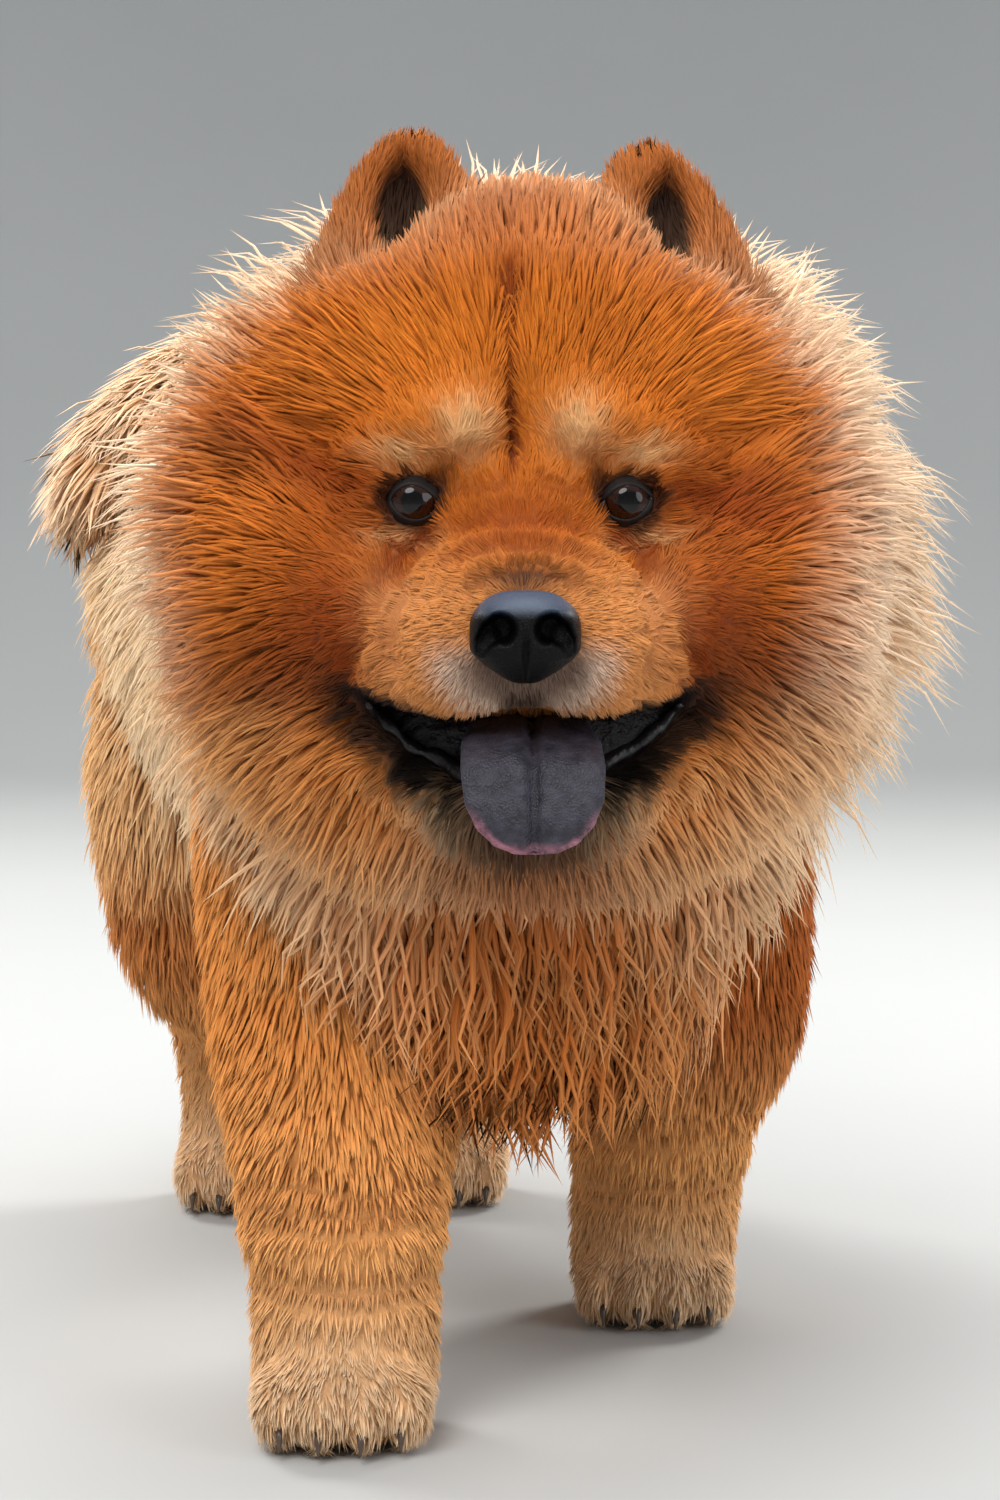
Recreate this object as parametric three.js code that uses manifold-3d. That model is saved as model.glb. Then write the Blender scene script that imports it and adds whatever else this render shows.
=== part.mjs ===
// A life-size chow chow walking towards the viewer: head low, mouth open, tongue out, right forepaw in front.
// Millimetres, +Z up. The dog faces -Y, its left side is on +X, and its soles lie on z = 0.
// The solids show the coat's larger locks. Each body form is given out to the tips of its coat,
// and its core lies under the coat by the coat's depth.
import * as THREE from "three";
import { mergeVertices } from "three/addons/utils/BufferGeometryUtils.js";
import Module from "manifold-3d";

const wasm = await Module();
wasm.setup();

// Gap between two parts that touch in life
const gap = 0.35;

// Head sizes
const eyeHeight = 402;
const eyeSpacing = 84;
const eyeRadius = 12.5;
const eyesAt = [8, -280];
const eyeSet = 4;
const lidRing = 13;
const lidThickness = 3;
const lidSquash = 0.86;
const earCup = [15, 10, 30];

// Body sizes
const bodyTurn = THREE.MathUtils.degToRad(12);
const chestAt = [8, -165];
const pawHeight = 46;
const farAway = 900;

// Colours
const faceColour = 0xa8541c;
const earColour = 0x6b3519;
const bodyColour = 0xb5692e;
const maneColour = 0xd9a875;
const pawColour = 0xd49e66;
const noseColour = 0x17191e;
const lipColour = 0x151214;
const tongueColour = 0x4d4b60;
const eyeColour = 0x1e0f0a;

// Seeded random numbers, the same on every run
let seed = 20417;
const seedStep = 1664525;
const seedShift = 1013904223;
const seedRange = 4294967296;
function random(low = 0, high = 1) {
  seed = (seed * seedStep + seedShift) % seedRange;
  return low + ((high - low) * seed) / seedRange;
}

function point(x, y, z) {
  return new THREE.Vector3(x, y, z);
}

// Points in the body's own frame: along from the chest to the rump, side towards the dog's left
const bodyBack = point(-Math.sin(bodyTurn), Math.cos(bodyTurn), 0);
const bodyLeft = point(Math.cos(bodyTurn), Math.sin(bodyTurn), 0);
function inBody(along, side, height) {
  return point(chestAt[0], chestAt[1], height)
    .addScaledVector(bodyBack, along)
    .addScaledVector(bodyLeft, side);
}

// Points in the head's frame, from the middle of the eyes: left is the dog's left, back is away from the nose
function inHead(left, back, up) {
  return point(eyesAt[0] + left, eyesAt[1] + back, eyeHeight + up);
}

// A closed mesh as a solid
function solidOf(geometry) {
  const bare = new THREE.BufferGeometry();
  bare.setAttribute("position", geometry.getAttribute("position"));
  if (geometry.index) bare.setIndex(geometry.index);
  const merged = mergeVertices(bare, 1e-3);
  return new wasm.Manifold(
    new wasm.Mesh({
      numProp: 3,
      vertProperties: new Float32Array(merged.attributes.position.array),
      triVerts: new Uint32Array(merged.index.array),
    }),
  );
}

// A closed body from its corners and triangles, turned to face out
function closedBody(positions, faces) {
  const geometry = new THREE.BufferGeometry();
  geometry.setAttribute("position", new THREE.Float32BufferAttribute(positions, 3));
  geometry.setIndex(faces);
  const made = solidOf(geometry);
  if (made.volume() > 0) return made;
  for (let i = 0; i < faces.length; i += 3) {
    [faces[i + 1], faces[i + 2]] = [faces[i + 2], faces[i + 1]];
  }
  geometry.setIndex(faces);
  return solidOf(geometry);
}

function joined(solids) {
  return solids.reduce((whole, next) => whole.add(next));
}

// The largest closed surface of a solid, without loose scraps or sealed hollows
function largest(solid) {
  return solid.decompose().reduce((best, next) => (next.volume() > best.volume() ? next : best));
}

// A body swept along a line of sections {at, wide, tall, coat}. wide and tall are half sizes at the tips
// of the coat, and coat is its depth. side is the direction of wide. power 2 is an ellipse, more is squarer.
class Sweep {
  constructor(sections, { side = point(1, 0, 0), power = 2, sides = 16, steps = 12 } = {}) {
    this.line = new THREE.CatmullRomCurve3(sections.map((s) => s.at), false, "centripetal");
    this.sizes = sections.map((s) => [s.wide, s.tall, s.coat ?? 0]);
    this.side = side;
    this.power = power;
    this.sides = sides;
    this.steps = steps;
  }

  // Half sizes and coat at t from 0 to 1, blended between the sections
  sizeAt(t) {
    const last = this.sizes.length - 1;
    const place = Math.min(t * last, last - 1e-9);
    const i = Math.floor(place);
    const share = place - i;
    const ease = (share * share * (3 - 2 * share) + share) / 2;
    return [0, 1, 2].map((k) => this.sizes[i][k] * (1 - ease) + this.sizes[i + 1][k] * ease);
  }

  frameAt(t) {
    const along = this.line.getTangent(t);
    const across = this.side.clone().addScaledVector(along, -this.side.dot(along)).normalize();
    const up = new THREE.Vector3().crossVectors(across, along);
    return { along, across, up };
  }

  // A point of the core's surface; angle 0 is towards side, and a quarter turn on is the section's top
  surface(t, angle, grow = 0) {
    const { across, up } = this.frameAt(t);
    const [wide, tall, coat] = this.sizeAt(t);
    const bend = 2 / this.power;
    const c = Math.sign(Math.cos(angle)) * Math.abs(Math.cos(angle)) ** bend;
    const s = Math.sign(Math.sin(angle)) * Math.abs(Math.sin(angle)) ** bend;
    return this.line
      .getPoint(t)
      .addScaledVector(across, c * (wide - coat + grow))
      .addScaledVector(up, s * (tall - coat + grow));
  }

  // The outward normal, from the two surface directions
  normal(t, angle) {
    const step = 0.01;
    const after = this.surface(Math.min(1, t + step), angle);
    const back = after.sub(this.surface(Math.max(0, t - step), angle));
    const round = this.surface(t, angle + step).sub(this.surface(t, angle - step));
    const made = new THREE.Vector3().crossVectors(round, back).normalize();
    const outward = this.surface(t, angle).sub(this.line.getPoint(t));
    return made.dot(outward) < 0 ? made.negate() : made;
  }

  // The core as a closed solid; each end closes on a pole a little outside its ring
  solid(grow = 0) {
    const { sides, steps } = this;
    const positions = [];
    const faces = [];
    for (let i = 0; i <= steps; i++) {
      for (let k = 0; k < sides; k++) {
        positions.push(...this.surface(i / steps, (k / sides) * Math.PI * 2, grow).toArray());
      }
    }
    const poleShare = 0.25;
    const poles = [0, 1].map((t) => {
      const [wide, tall, coat] = this.sizeAt(t);
      const out = (t ? 1 : -1) * ((Math.min(wide, tall) - coat) * poleShare + grow);
      positions.push(...this.line.getPoint(t).addScaledVector(this.frameAt(t).along, out).toArray());
      return positions.length / 3 - 1;
    });
    for (let k = 0; k < sides; k++) {
      const next = (k + 1) % sides;
      for (let i = 0; i < steps; i++) {
        const a = i * sides + k;
        const b = i * sides + next;
        faces.push(a, a + sides, b, b, a + sides, b + sides);
      }
      faces.push(poles[0], k, next);
      faces.push(poles[1], steps * sides + next, steps * sides + k);
    }
    return closedBody(positions, faces);
  }
}

// A three.js shape scaled, turned and moved into place as a solid
function placed(geometry, at, scale, turn = [0, 0, 0]) {
  geometry.scale(...scale);
  const angles = turn.map(THREE.MathUtils.degToRad);
  geometry.applyMatrix4(new THREE.Matrix4().makeRotationFromEuler(new THREE.Euler(...angles)));
  geometry.translate(at.x, at.y, at.z);
  return solidOf(geometry);
}

function ellipsoid(at, radii, { turn, around = 12, rings = 8, grow = 0 } = {}) {
  const scale = radii.map((r) => r + grow);
  return placed(new THREE.SphereGeometry(1, around, rings), at, scale, turn);
}

function block(low, high) {
  const size = high.clone().sub(low);
  const middle = low.clone().add(high).multiplyScalar(0.5);
  return placed(new THREE.BoxGeometry(1, 1, 1), middle, size.toArray());
}

// A flat lock of hair: it leaves its root outwards, bends over along its lie, droops and tapers to a tip
const lockTaper = [0.85, 1, 0.64];
const lockSink = 10;
function lockSolid({ root, out, lie, length, wide, thick, lift, droop }, grow = 0) {
  const line = new THREE.CubicBezierCurve3(
    root.clone().addScaledVector(out, -lockSink),
    root.clone().addScaledVector(out, lift * 0.7).addScaledVector(lie, length * 0.25),
    root.clone().addScaledVector(out, lift).addScaledVector(lie, length * 0.65),
    root.clone().addScaledVector(out, lift).addScaledVector(lie, length).add(point(0, 0, -droop)),
  );
  const side = new THREE.Vector3().crossVectors(lie, out).normalize();
  const positions = [];
  const faces = [];
  const rings = lockTaper.length;
  lockTaper.forEach((share, i) => {
    const t = i / rings;
    const at = line.getPoint(t);
    const face = new THREE.Vector3().crossVectors(side, line.getTangent(t)).normalize();
    const halfWide = (wide / 2) * share + grow;
    const halfThick = (thick / 2) * share + grow;
    for (const [a, b] of [[1, 0], [0, 1], [-1, 0], [0, -1]]) {
      const corner = at.clone().addScaledVector(side, a * halfWide).addScaledVector(face, b * halfThick);
      positions.push(...corner.toArray());
    }
  });
  positions.push(...line.getPoint(1).addScaledVector(line.getTangent(1), grow * 2).toArray());
  const tip = rings * 4;
  for (let k = 0; k < 4; k++) {
    const next = (k + 1) % 4;
    for (let i = 0; i < rings - 1; i++) {
      const a = i * 4 + k;
      const b = i * 4 + next;
      faces.push(a, b, a + 4, b, b + 4, a + 4);
    }
    faces.push(tip - 4 + k, tip - 4 + next, tip);
  }
  faces.push(0, 2, 1, 0, 3, 2);
  return closedBody(positions, faces);
}

// Rows of locks over part of a sweep. Each row is {t, from, to, count}, with angles in degrees.
// fall turns the lie from the sweep's own direction towards straight down.
function locksOn(sweep, rows, { length, wide, thick = 12, droop = 0, fall = 0.3, rise = 1 }) {
  const down = point(0, 0, -1);
  const made = [];
  rows.forEach(({ t, from, to, count, scale = 1 }, row) => {
    for (let k = 0; k < count; k++) {
      const stagger = row % 2 ? 0.25 : -0.25;
      const share = (k + 0.5 + stagger + random(-0.12, 0.12)) / count;
      const angle = THREE.MathUtils.degToRad(from + (to - from) * share);
      const out = sweep.normal(t, angle);
      const lie = sweep.frameAt(t).along.addScaledVector(down, fall);
      lie.addScaledVector(out, -lie.dot(out)).normalize();
      const coat = sweep.sizeAt(t)[2];
      made.push({
        root: sweep.surface(t, angle),
        out,
        lie,
        length: length * scale * random(0.88, 1.12),
        wide: wide * random(0.88, 1.14),
        thick,
        lift: coat * rise * random(0.85, 1.1),
        droop,
      });
    }
  });
  return made;
}

// A part of the body: forms and locks joined, and cut clear of the parts made before it
function bodyPart(forms, locks = [], clearOf = [], cutouts = []) {
  const build = (grow) =>
    joined([...forms.map((form) => form(grow)), ...locks.map((lock) => lockSolid(lock, grow * 3))]);
  const whole = build(0);
  let solid = whole;
  for (const cut of cutouts) solid = solid.subtract(cut);
  for (const other of clearOf) solid = solid.subtract(other.cutter);
  return { solid: largest(solid), cutter: build(gap).add(whole) };
}
const sweepForm = (sweep) => (grow) => sweep.solid(grow);
const eggForm = (at, radii, options = {}) => (grow) => ellipsoid(at, radii, { ...options, grow });

// Eyes
const eyeCentres = {
  eye_right: inHead(-eyeSpacing / 2, eyeSet, 0),
  eye_left: inHead(eyeSpacing / 2, eyeSet, 0),
};
const eyeParts = {};
for (const [name, at] of Object.entries(eyeCentres)) {
  eyeParts[name] = bodyPart([eggForm(at, [eyeRadius, eyeRadius, eyeRadius])]);
}

// Head: the ruff round the face, brows, cheeks, muzzle, flews and lids, with an open mouth below
const ruff = new Sweep(
  [
    { at: inHead(1, 18, 2), wide: 64, tall: 60, coat: 0 },
    { at: inHead(1, 32, -6), wide: 110, tall: 108, coat: 4 },
    { at: inHead(1, 64, -18), wide: 144, tall: 146, coat: 20 },
    { at: inHead(1, 112, -24), wide: 158, tall: 162, coat: 30 },
    { at: inHead(1, 160, -24), wide: 146, tall: 146, coat: 32 },
    { at: inHead(1, 196, -20), wide: 104, tall: 104, coat: 30 },
  ],
  { sides: 16, steps: 7 },
);
const muzzle = new Sweep(
  [
    { at: inHead(0, 40, -38), wide: 60, tall: 42 },
    { at: inHead(0, 0, -42), wide: 56, tall: 37 },
    { at: inHead(0, -40, -52), wide: 50, tall: 31 },
    { at: inHead(0, -70, -57), wide: 42, tall: 26 },
  ],
  { power: 2.6, sides: 16, steps: 5 },
);
const browTurn = 12;
const lids = Object.values(eyeCentres).map((at) => (grow) => {
  const ring = new THREE.TorusGeometry(lidRing, lidThickness + grow, 5, 12);
  return placed(ring, at.clone().add(point(0, -7, 0)), [1, lidSquash, 1], [90, 0, 0]);
});
const headForms = [
  sweepForm(ruff),
  eggForm(inHead(2, 106, 46), [98, 74, 88], { around: 14, rings: 8 }),
  eggForm(inHead(-37, 16, 27), [33, 25, 17], { turn: [0, -browTurn, 0], around: 10, rings: 7 }),
  eggForm(inHead(37, 16, 27), [33, 25, 17], { turn: [0, browTurn, 0], around: 10, rings: 7 }),
  eggForm(inHead(-29, -42, -60), [27, 34, 25], { around: 10, rings: 7 }),
  eggForm(inHead(29, -42, -60), [27, 34, 25], { around: 10, rings: 7 }),
  sweepForm(muzzle),
  ...lids,
];
const mouthHollow = ellipsoid(inHead(1, 0, -98), [64, 66, 15], { around: 16, rings: 8 });
const ruffLocks = locksOn(
  ruff,
  [
    { t: 0.42, from: -44, to: 44, count: 5 },
    { t: 0.42, from: 136, to: 224, count: 5 },
    { t: 0.48, from: 236, to: 304, count: 4 },
    { t: 0.62, from: -52, to: 42, count: 5 },
    { t: 0.62, from: 138, to: 232, count: 5 },
  ],
  { length: 70, wide: 46, thick: 9, fall: 0.1 },
);
const headPart = bodyPart(headForms, ruffLocks, Object.values(eyeParts), [mouthHollow]);

// Nose pad with its nostrils
const nostrils = [-1, 1].map((sign) =>
  ellipsoid(inHead(1 + sign * 10, -94, -48), [5, 8, 5], { turn: [0, sign * 24, 0], around: 10, rings: 6 }),
);
const padForm = eggForm(inHead(1, -79, -48), [20, 17, 17], { around: 14, rings: 8 });
const nosePart = bodyPart([padForm], [], [headPart], nostrils);

// Lower jaw and tongue
const jaw = new Sweep(
  [
    { at: inHead(2, 60, -96), wide: 64, tall: 24 },
    { at: inHead(2, 20, -106), wide: 60, tall: 20 },
    { at: inHead(2, -25, -112), wide: 48, tall: 16 },
    { at: inHead(2, -56, -116), wide: 30, tall: 12 },
  ],
  { sides: 14, steps: 6 },
);
const jawDip = ellipsoid(inHead(2, -14, -90), [44, 52, 14], { around: 14, rings: 8 });
const jawPart = bodyPart([sweepForm(jaw)], [], [headPart], [jawDip]);
const tongue = new Sweep(
  [
    { at: inHead(3, 16, -86), wide: 24, tall: 5 },
    { at: inHead(4, -40, -89), wide: 27, tall: 5 },
    { at: inHead(4, -70, -92), wide: 28, tall: 5 },
    { at: inHead(4, -84, -106), wide: 28, tall: 5 },
    { at: inHead(4, -85, -121), wide: 24, tall: 4.5 },
    { at: inHead(4, -82, -130), wide: 13, tall: 3 },
  ],
  { sides: 10, steps: 10 },
);
const tonguePart = bodyPart([sweepForm(tongue)], [], [headPart, jawPart]);

// Ears: thick rounded triangles, cupped in front. upright is the way from the base to the tip
function ear(base, tip, facing) {
  const at = (share) => base.clone().lerp(tip, share);
  const sweep = new Sweep(
    [
      { at: at(-0.5), wide: 36, tall: 17 },
      { at: at(0), wide: 35, tall: 16 },
      { at: at(0.5), wide: 29, tall: 13 },
      { at: at(0.85), wide: 20, tall: 11 },
      { at: tip, wide: 9, tall: 7 },
    ],
    { side: facing, sides: 12, steps: 7 },
  );
  const front = new THREE.Vector3().crossVectors(facing, point(0, 0, 1)).normalize();
  if (front.y > 0) front.negate();
  const lean = THREE.MathUtils.radToDeg(Math.atan2(tip.x - base.x, tip.z - base.z));
  const cup = ellipsoid(at(0.22).addScaledVector(front, 16), earCup, { turn: [0, lean, 0], around: 12, rings: 8 });
  return bodyPart([sweepForm(sweep)], [], [headPart], [cup]);
}
const earParts = {
  ear_right: ear(inHead(-50, 84, 106), inHead(-42, 90, 153), point(1, -0.1, 0)),
  ear_left: ear(inHead(65, 84, 99), inHead(56, 90, 147), point(1, 0.25, 0)),
};

// Neck with the mane, and the bib of hair in front of the chest
const neck = new Sweep(
  [
    { at: point(9, -205, 385), wide: 110, tall: 108, coat: 30 },
    { at: point(11, -150, 378), wide: 172, tall: 166, coat: 42 },
    { at: point(13, -85, 376), wide: 200, tall: 190, coat: 46 },
    { at: point(6, -10, 378), wide: 186, tall: 174, coat: 44 },
    { at: point(-4, 60, 386), wide: 142, tall: 126, coat: 34 },
    { at: point(-8, 100, 394), wide: 80, tall: 66, coat: 22 },
  ],
  { sides: 16, steps: 7 },
);
const bib = new Sweep(
  [
    { at: point(10, -160, 330), wide: 128, tall: 80, coat: 26 },
    { at: point(10, -152, 265), wide: 122, tall: 74, coat: 28 },
    { at: point(11, -142, 210), wide: 98, tall: 60, coat: 26 },
    { at: point(12, -138, 172), wide: 56, tall: 38, coat: 18 },
  ],
  { sides: 12, steps: 4 },
);
const maneLocks = locksOn(
  neck,
  [
    { t: 0.24, from: -56, to: 236, count: 13 },
    { t: 0.43, from: -60, to: 240, count: 12 },
    { t: 0.64, from: -36, to: 216, count: 7 },
  ],
  { length: 92, wide: 68, thick: 10, fall: 0.2, rise: 0.84 },
);
const bibLocks = locksOn(
  bib,
  [
    { t: 0.22, from: 190, to: 350, count: 4 },
    { t: 0.5, from: 194, to: 346, count: 4 },
    { t: 0.76, from: 200, to: 340, count: 3 },
  ],
  { length: 66, wide: 54, thick: 9, fall: 0.4 },
);
const headParts = [headPart, jawPart, ...Object.values(earParts)];
const neckPart = bodyPart([sweepForm(neck), sweepForm(bib)], [...maneLocks, ...bibLocks], headParts);

// Torso
const torso = new Sweep(
  [
    { at: inBody(10, 0, 300), wide: 74, tall: 80, coat: 18 },
    { at: inBody(60, 0, 306), wide: 116, tall: 116, coat: 20 },
    { at: inBody(130, 0, 320), wide: 136, tall: 136, coat: 24 },
    { at: inBody(250, 0, 332), wide: 142, tall: 136, coat: 26 },
    { at: inBody(370, 0, 338), wide: 147, tall: 130, coat: 26 },
    { at: inBody(470, 0, 340), wide: 150, tall: 126, coat: 28 },
    { at: inBody(545, 0, 336), wide: 122, tall: 110, coat: 26 },
    { at: inBody(585, 0, 330), wide: 74, tall: 74, coat: 22 },
  ],
  { side: bodyLeft, sides: 13, steps: 8 },
);
const torsoLocks = locksOn(
  torso,
  [
    { t: 0.4, from: -56, to: 236, count: 7 },
    { t: 0.58, from: -60, to: 240, count: 8 },
    { t: 0.76, from: -60, to: 240, count: 8 },
    { t: 0.92, from: -70, to: 250, count: 6, scale: 0.8 },
  ],
  { length: 86, wide: 66, thick: 9, fall: 0.7 },
);
const torsoPart = bodyPart([sweepForm(torso)], torsoLocks, [neckPart, headPart]);

// Legs, each from its top to its ankle, as [x, y, z, half width, half depth, coat]
function leg(sections) {
  return new Sweep(
    sections.map(([x, y, z, wide, tall, coat]) => ({ at: point(x, y, z), wide, tall, coat })),
    { sides: 11, steps: 7 },
  );
}
const legs = {
  front_leg_right: leg([
    [-78, -80, 320, 60, 78, 9],
    [-80, -84, 240, 60, 68, 9],
    [-72, -112, 165, 56, 54, 8],
    [-68, -146, 100, 48, 46, 4],
    [-67, -164, 55, 41, 40, 3],
    [-67, -166, 20, 41, 38, 3],
  ]),
  front_leg_left: leg([
    [72, -42, 320, 64, 78, 9],
    [86, -12, 240, 64, 74, 9],
    [88, 18, 160, 60, 64, 8],
    [80, 44, 100, 48, 48, 4],
    [76, 54, 50, 42, 42, 3],
    [75, 54, 20, 41, 40, 3],
  ]),
  hind_leg_right: leg([
    [-148, 240, 330, 72, 94, 11],
    [-156, 236, 250, 74, 92, 12],
    [-158, 272, 175, 62, 74, 11],
    [-152, 336, 118, 42, 50, 5],
    [-147, 334, 60, 36, 36, 3],
    [-147, 328, 20, 36, 35, 3],
  ]),
  hind_leg_left: leg([
    [-26, 266, 330, 72, 94, 11],
    [-18, 262, 250, 74, 92, 12],
    [-20, 300, 175, 62, 74, 11],
    [-28, 358, 118, 42, 50, 5],
    [-31, 352, 60, 36, 36, 3],
    [-31, 346, 20, 36, 35, 3],
  ]),
};
// Feathering on the back and outer side of each leg, as the outer side's angle in degrees
const outerSide = { front_leg_right: 180, front_leg_left: 0, hind_leg_right: 180, hind_leg_left: 0 };
const legParts = {};
for (const [name, sweep] of Object.entries(legs)) {
  const middle = (outerSide[name] + (outerSide[name] ? -50 : 50)) % 360;
  const rows = [
    { t: 0.24, from: middle - 70, to: middle + 70, count: 3 },
    { t: 0.4, from: middle - 60, to: middle + 60, count: 3, scale: 0.85 },
  ];
  const locks = locksOn(sweep, rows, { length: 60, wide: 46, thick: 8, fall: 0.2, rise: 1.5 });
  const clearOf = [torsoPart, neckPart, headPart, ...Object.values(legParts)];
  const part = bodyPart([sweepForm(sweep)], locks, clearOf);
  const above = block(point(-farAway, -farAway, pawHeight + gap / 2), point(farAway, farAway, farAway));
  part.solid = largest(part.solid.intersect(above));
  legParts[name] = part;
}

// Paws: a rounded foot with its toes in front, flat below
const paws = {
  front_paw_right: { at: [-67, -180], size: [42, 50] },
  front_paw_left: { at: [75, 46], size: [42, 49] },
  hind_paw_right: { at: [-147, 318], size: [38, 48] },
  hind_paw_left: { at: [-31, 334], size: [38, 48] },
};
const toeSpread = [-0.66, -0.23, 0.23, 0.66];
const pawParts = {};
for (const [name, { at, size }] of Object.entries(paws)) {
  const [x, y] = at;
  const [halfWide, halfLong] = size;
  const foot = ellipsoid(point(x, y + 4, 22), [halfWide, halfLong, 34], { around: 12, rings: 7 });
  const ankle = ellipsoid(point(x, y + 10, 40), [halfWide - 3, halfLong - 12, 34], { around: 12, rings: 5 });
  const toes = toeSpread.map((share) => {
    const reach = halfLong * (1.02 - 0.35 * share * share);
    const radii = [halfWide * 0.3, 24, 20];
    return ellipsoid(point(x + share * halfWide, y - reach + 20, 17), radii, { around: 6, rings: 5 });
  });
  const room = block(point(-farAway, -farAway, 0), point(farAway, farAway, pawHeight - gap / 2));
  pawParts[name] = { solid: largest(joined([foot, ankle, ...toes]).intersect(room)) };
}

// Tail, curled over the back, with its plume down the right flank
const tail = new Sweep(
  [
    { at: inBody(556, 4, 400), wide: 34, tall: 34, coat: 6 },
    { at: inBody(568, 0, 436), wide: 42, tall: 38, coat: 10 },
    { at: inBody(520, -24, 470), wide: 50, tall: 38, coat: 13 },
    { at: inBody(455, -66, 472), wide: 56, tall: 38, coat: 14 },
    { at: inBody(415, -116, 448), wide: 54, tall: 34, coat: 13 },
    { at: inBody(400, -146, 414), wide: 42, tall: 26, coat: 10 },
    { at: inBody(396, -158, 388), wide: 22, tall: 16, coat: 5 },
  ],
  { side: bodyBack, sides: 9, steps: 8 },
);
const tailLocks = locksOn(
  tail,
  [
    { t: 0.2, from: -40, to: 220, count: 3 },
    { t: 0.4, from: -40, to: 220, count: 4 },
    { t: 0.6, from: -40, to: 220, count: 4 },
    { t: 0.78, from: -40, to: 220, count: 3 },
  ],
  { length: 50, wide: 42, thick: 8, fall: 0.1 },
);
const tailPart = bodyPart([sweepForm(tail)], tailLocks, [torsoPart, neckPart]);

// The dog as named parts
const dog = new THREE.Group();
function addPart(name, { solid }, colour, roughness = 0.9) {
  const { numProp, vertProperties, triVerts, numVert } = solid.getMesh();
  const positions = new Float32Array(numVert * 3);
  for (let i = 0; i < numVert; i++) {
    positions.set(vertProperties.subarray(i * numProp, i * numProp + 3), i * 3);
  }
  const geometry = new THREE.BufferGeometry();
  geometry.setAttribute("position", new THREE.BufferAttribute(positions, 3));
  geometry.setIndex(new THREE.BufferAttribute(new Uint32Array(triVerts), 1));
  const material = new THREE.MeshStandardMaterial({ color: colour, roughness, metalness: 0 });
  const mesh = new THREE.Mesh(geometry, material);
  mesh.name = name;
  dog.add(mesh);
}
addPart("head", headPart, faceColour);
addPart("nose", nosePart, noseColour, 0.5);
addPart("lower_jaw", jawPart, lipColour, 0.6);
addPart("tongue", tonguePart, tongueColour, 0.45);
addPart("neck", neckPart, maneColour);
addPart("torso", torsoPart, bodyColour);
addPart("tail", tailPart, maneColour);
for (const [name, part] of Object.entries(eyeParts)) addPart(name, part, eyeColour, 0.1);
for (const [name, part] of Object.entries(earParts)) addPart(name, part, earColour);
for (const [name, part] of Object.entries(legParts)) addPart(name, part, bodyColour);
for (const [name, part] of Object.entries(pawParts)) addPart(name, part, pawColour);

// The origin lies on the floor under the middle of the whole dog
const middle = new THREE.Box3().setFromObject(dog).getCenter(new THREE.Vector3());
dog.position.set(-middle.x, -middle.y, 0);

export default dog;
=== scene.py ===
import math
import time

import bpy
import numpy as np
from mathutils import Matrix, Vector


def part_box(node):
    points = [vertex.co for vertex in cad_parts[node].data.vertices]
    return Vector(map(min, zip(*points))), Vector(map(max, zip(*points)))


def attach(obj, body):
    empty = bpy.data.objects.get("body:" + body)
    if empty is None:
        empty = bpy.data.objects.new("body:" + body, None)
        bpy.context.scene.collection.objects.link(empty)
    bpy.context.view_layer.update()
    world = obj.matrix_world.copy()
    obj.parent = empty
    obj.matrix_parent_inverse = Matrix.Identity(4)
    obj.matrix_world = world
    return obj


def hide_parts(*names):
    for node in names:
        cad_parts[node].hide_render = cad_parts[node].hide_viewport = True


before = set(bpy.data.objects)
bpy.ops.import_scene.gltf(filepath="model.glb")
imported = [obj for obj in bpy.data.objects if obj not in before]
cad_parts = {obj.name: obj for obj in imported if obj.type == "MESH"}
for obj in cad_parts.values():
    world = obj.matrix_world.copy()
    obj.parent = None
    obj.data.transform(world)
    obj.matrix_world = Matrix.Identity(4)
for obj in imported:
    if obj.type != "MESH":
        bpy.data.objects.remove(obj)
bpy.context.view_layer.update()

started = time.time()


def say(text):
    print(f"{time.time() - started:6.1f} s  {text}", flush=True)


# All shapes are worked out in millimetres with the dog facing -Y, in the axes that the solids are designed in.
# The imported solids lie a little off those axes, by the shift of the left eye's middle.
headAt = np.array([8.0, -280.0, 402.0])
eyeDesign = np.array([50.0, -276.0, 402.0])
low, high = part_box("eye_left")
shift = np.array((low + high) / 2) - eyeDesign * 0.001
shift[2] = 0.0

bodyTurn = math.radians(12)
bodyBack = np.array([-math.sin(bodyTurn), math.cos(bodyTurn), 0.0])
bodyLeft = np.array([math.cos(bodyTurn), math.sin(bodyTurn), 0.0])
chestAt = np.array([8.0, -165.0, 0.0])
down = np.array([0.0, 0.0, -1.0])


def inBody(along, side, height):
    # Point so far behind the chest, to the dog's left and above the floor, on the body's own turned line
    return chestAt + bodyBack * along + bodyLeft * side + np.array([0, 0, height])


def inHead(left, back, up):
    # Point to the left of the middle of the face, behind it and above it
    return headAt + np.array([left, back, up], float)


def toScene(points):
    # Millimetres as designed to metres as packed
    return np.asarray(points) * 0.001 + shift


def unit(v):
    # Each vector divided by its length
    return v / np.maximum(np.linalg.norm(v, axis=-1, keepdims=True), 1e-9)


def ease(a, b, x):
    # 0 below a, 1 above b, and 3t^2 - 2t^3 between them
    t = np.clip((x - a) / (b - a), 0, 1)
    return t * t * (3 - 2 * t)


def bell(x, width):
    # exp(-(x / width)^2)
    return np.exp(-np.square(x / width))


def srgb(r, g, b):
    # sRGB from 0 to 255 as linear light: c / 12.92 when dark, and ((c + 0.055) / 1.055)^2.4 otherwise
    c = np.array([r, g, b]) / 255
    return np.where(c <= 0.04045, c / 12.92, ((c + 0.055) / 1.055) ** 2.4)


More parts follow.
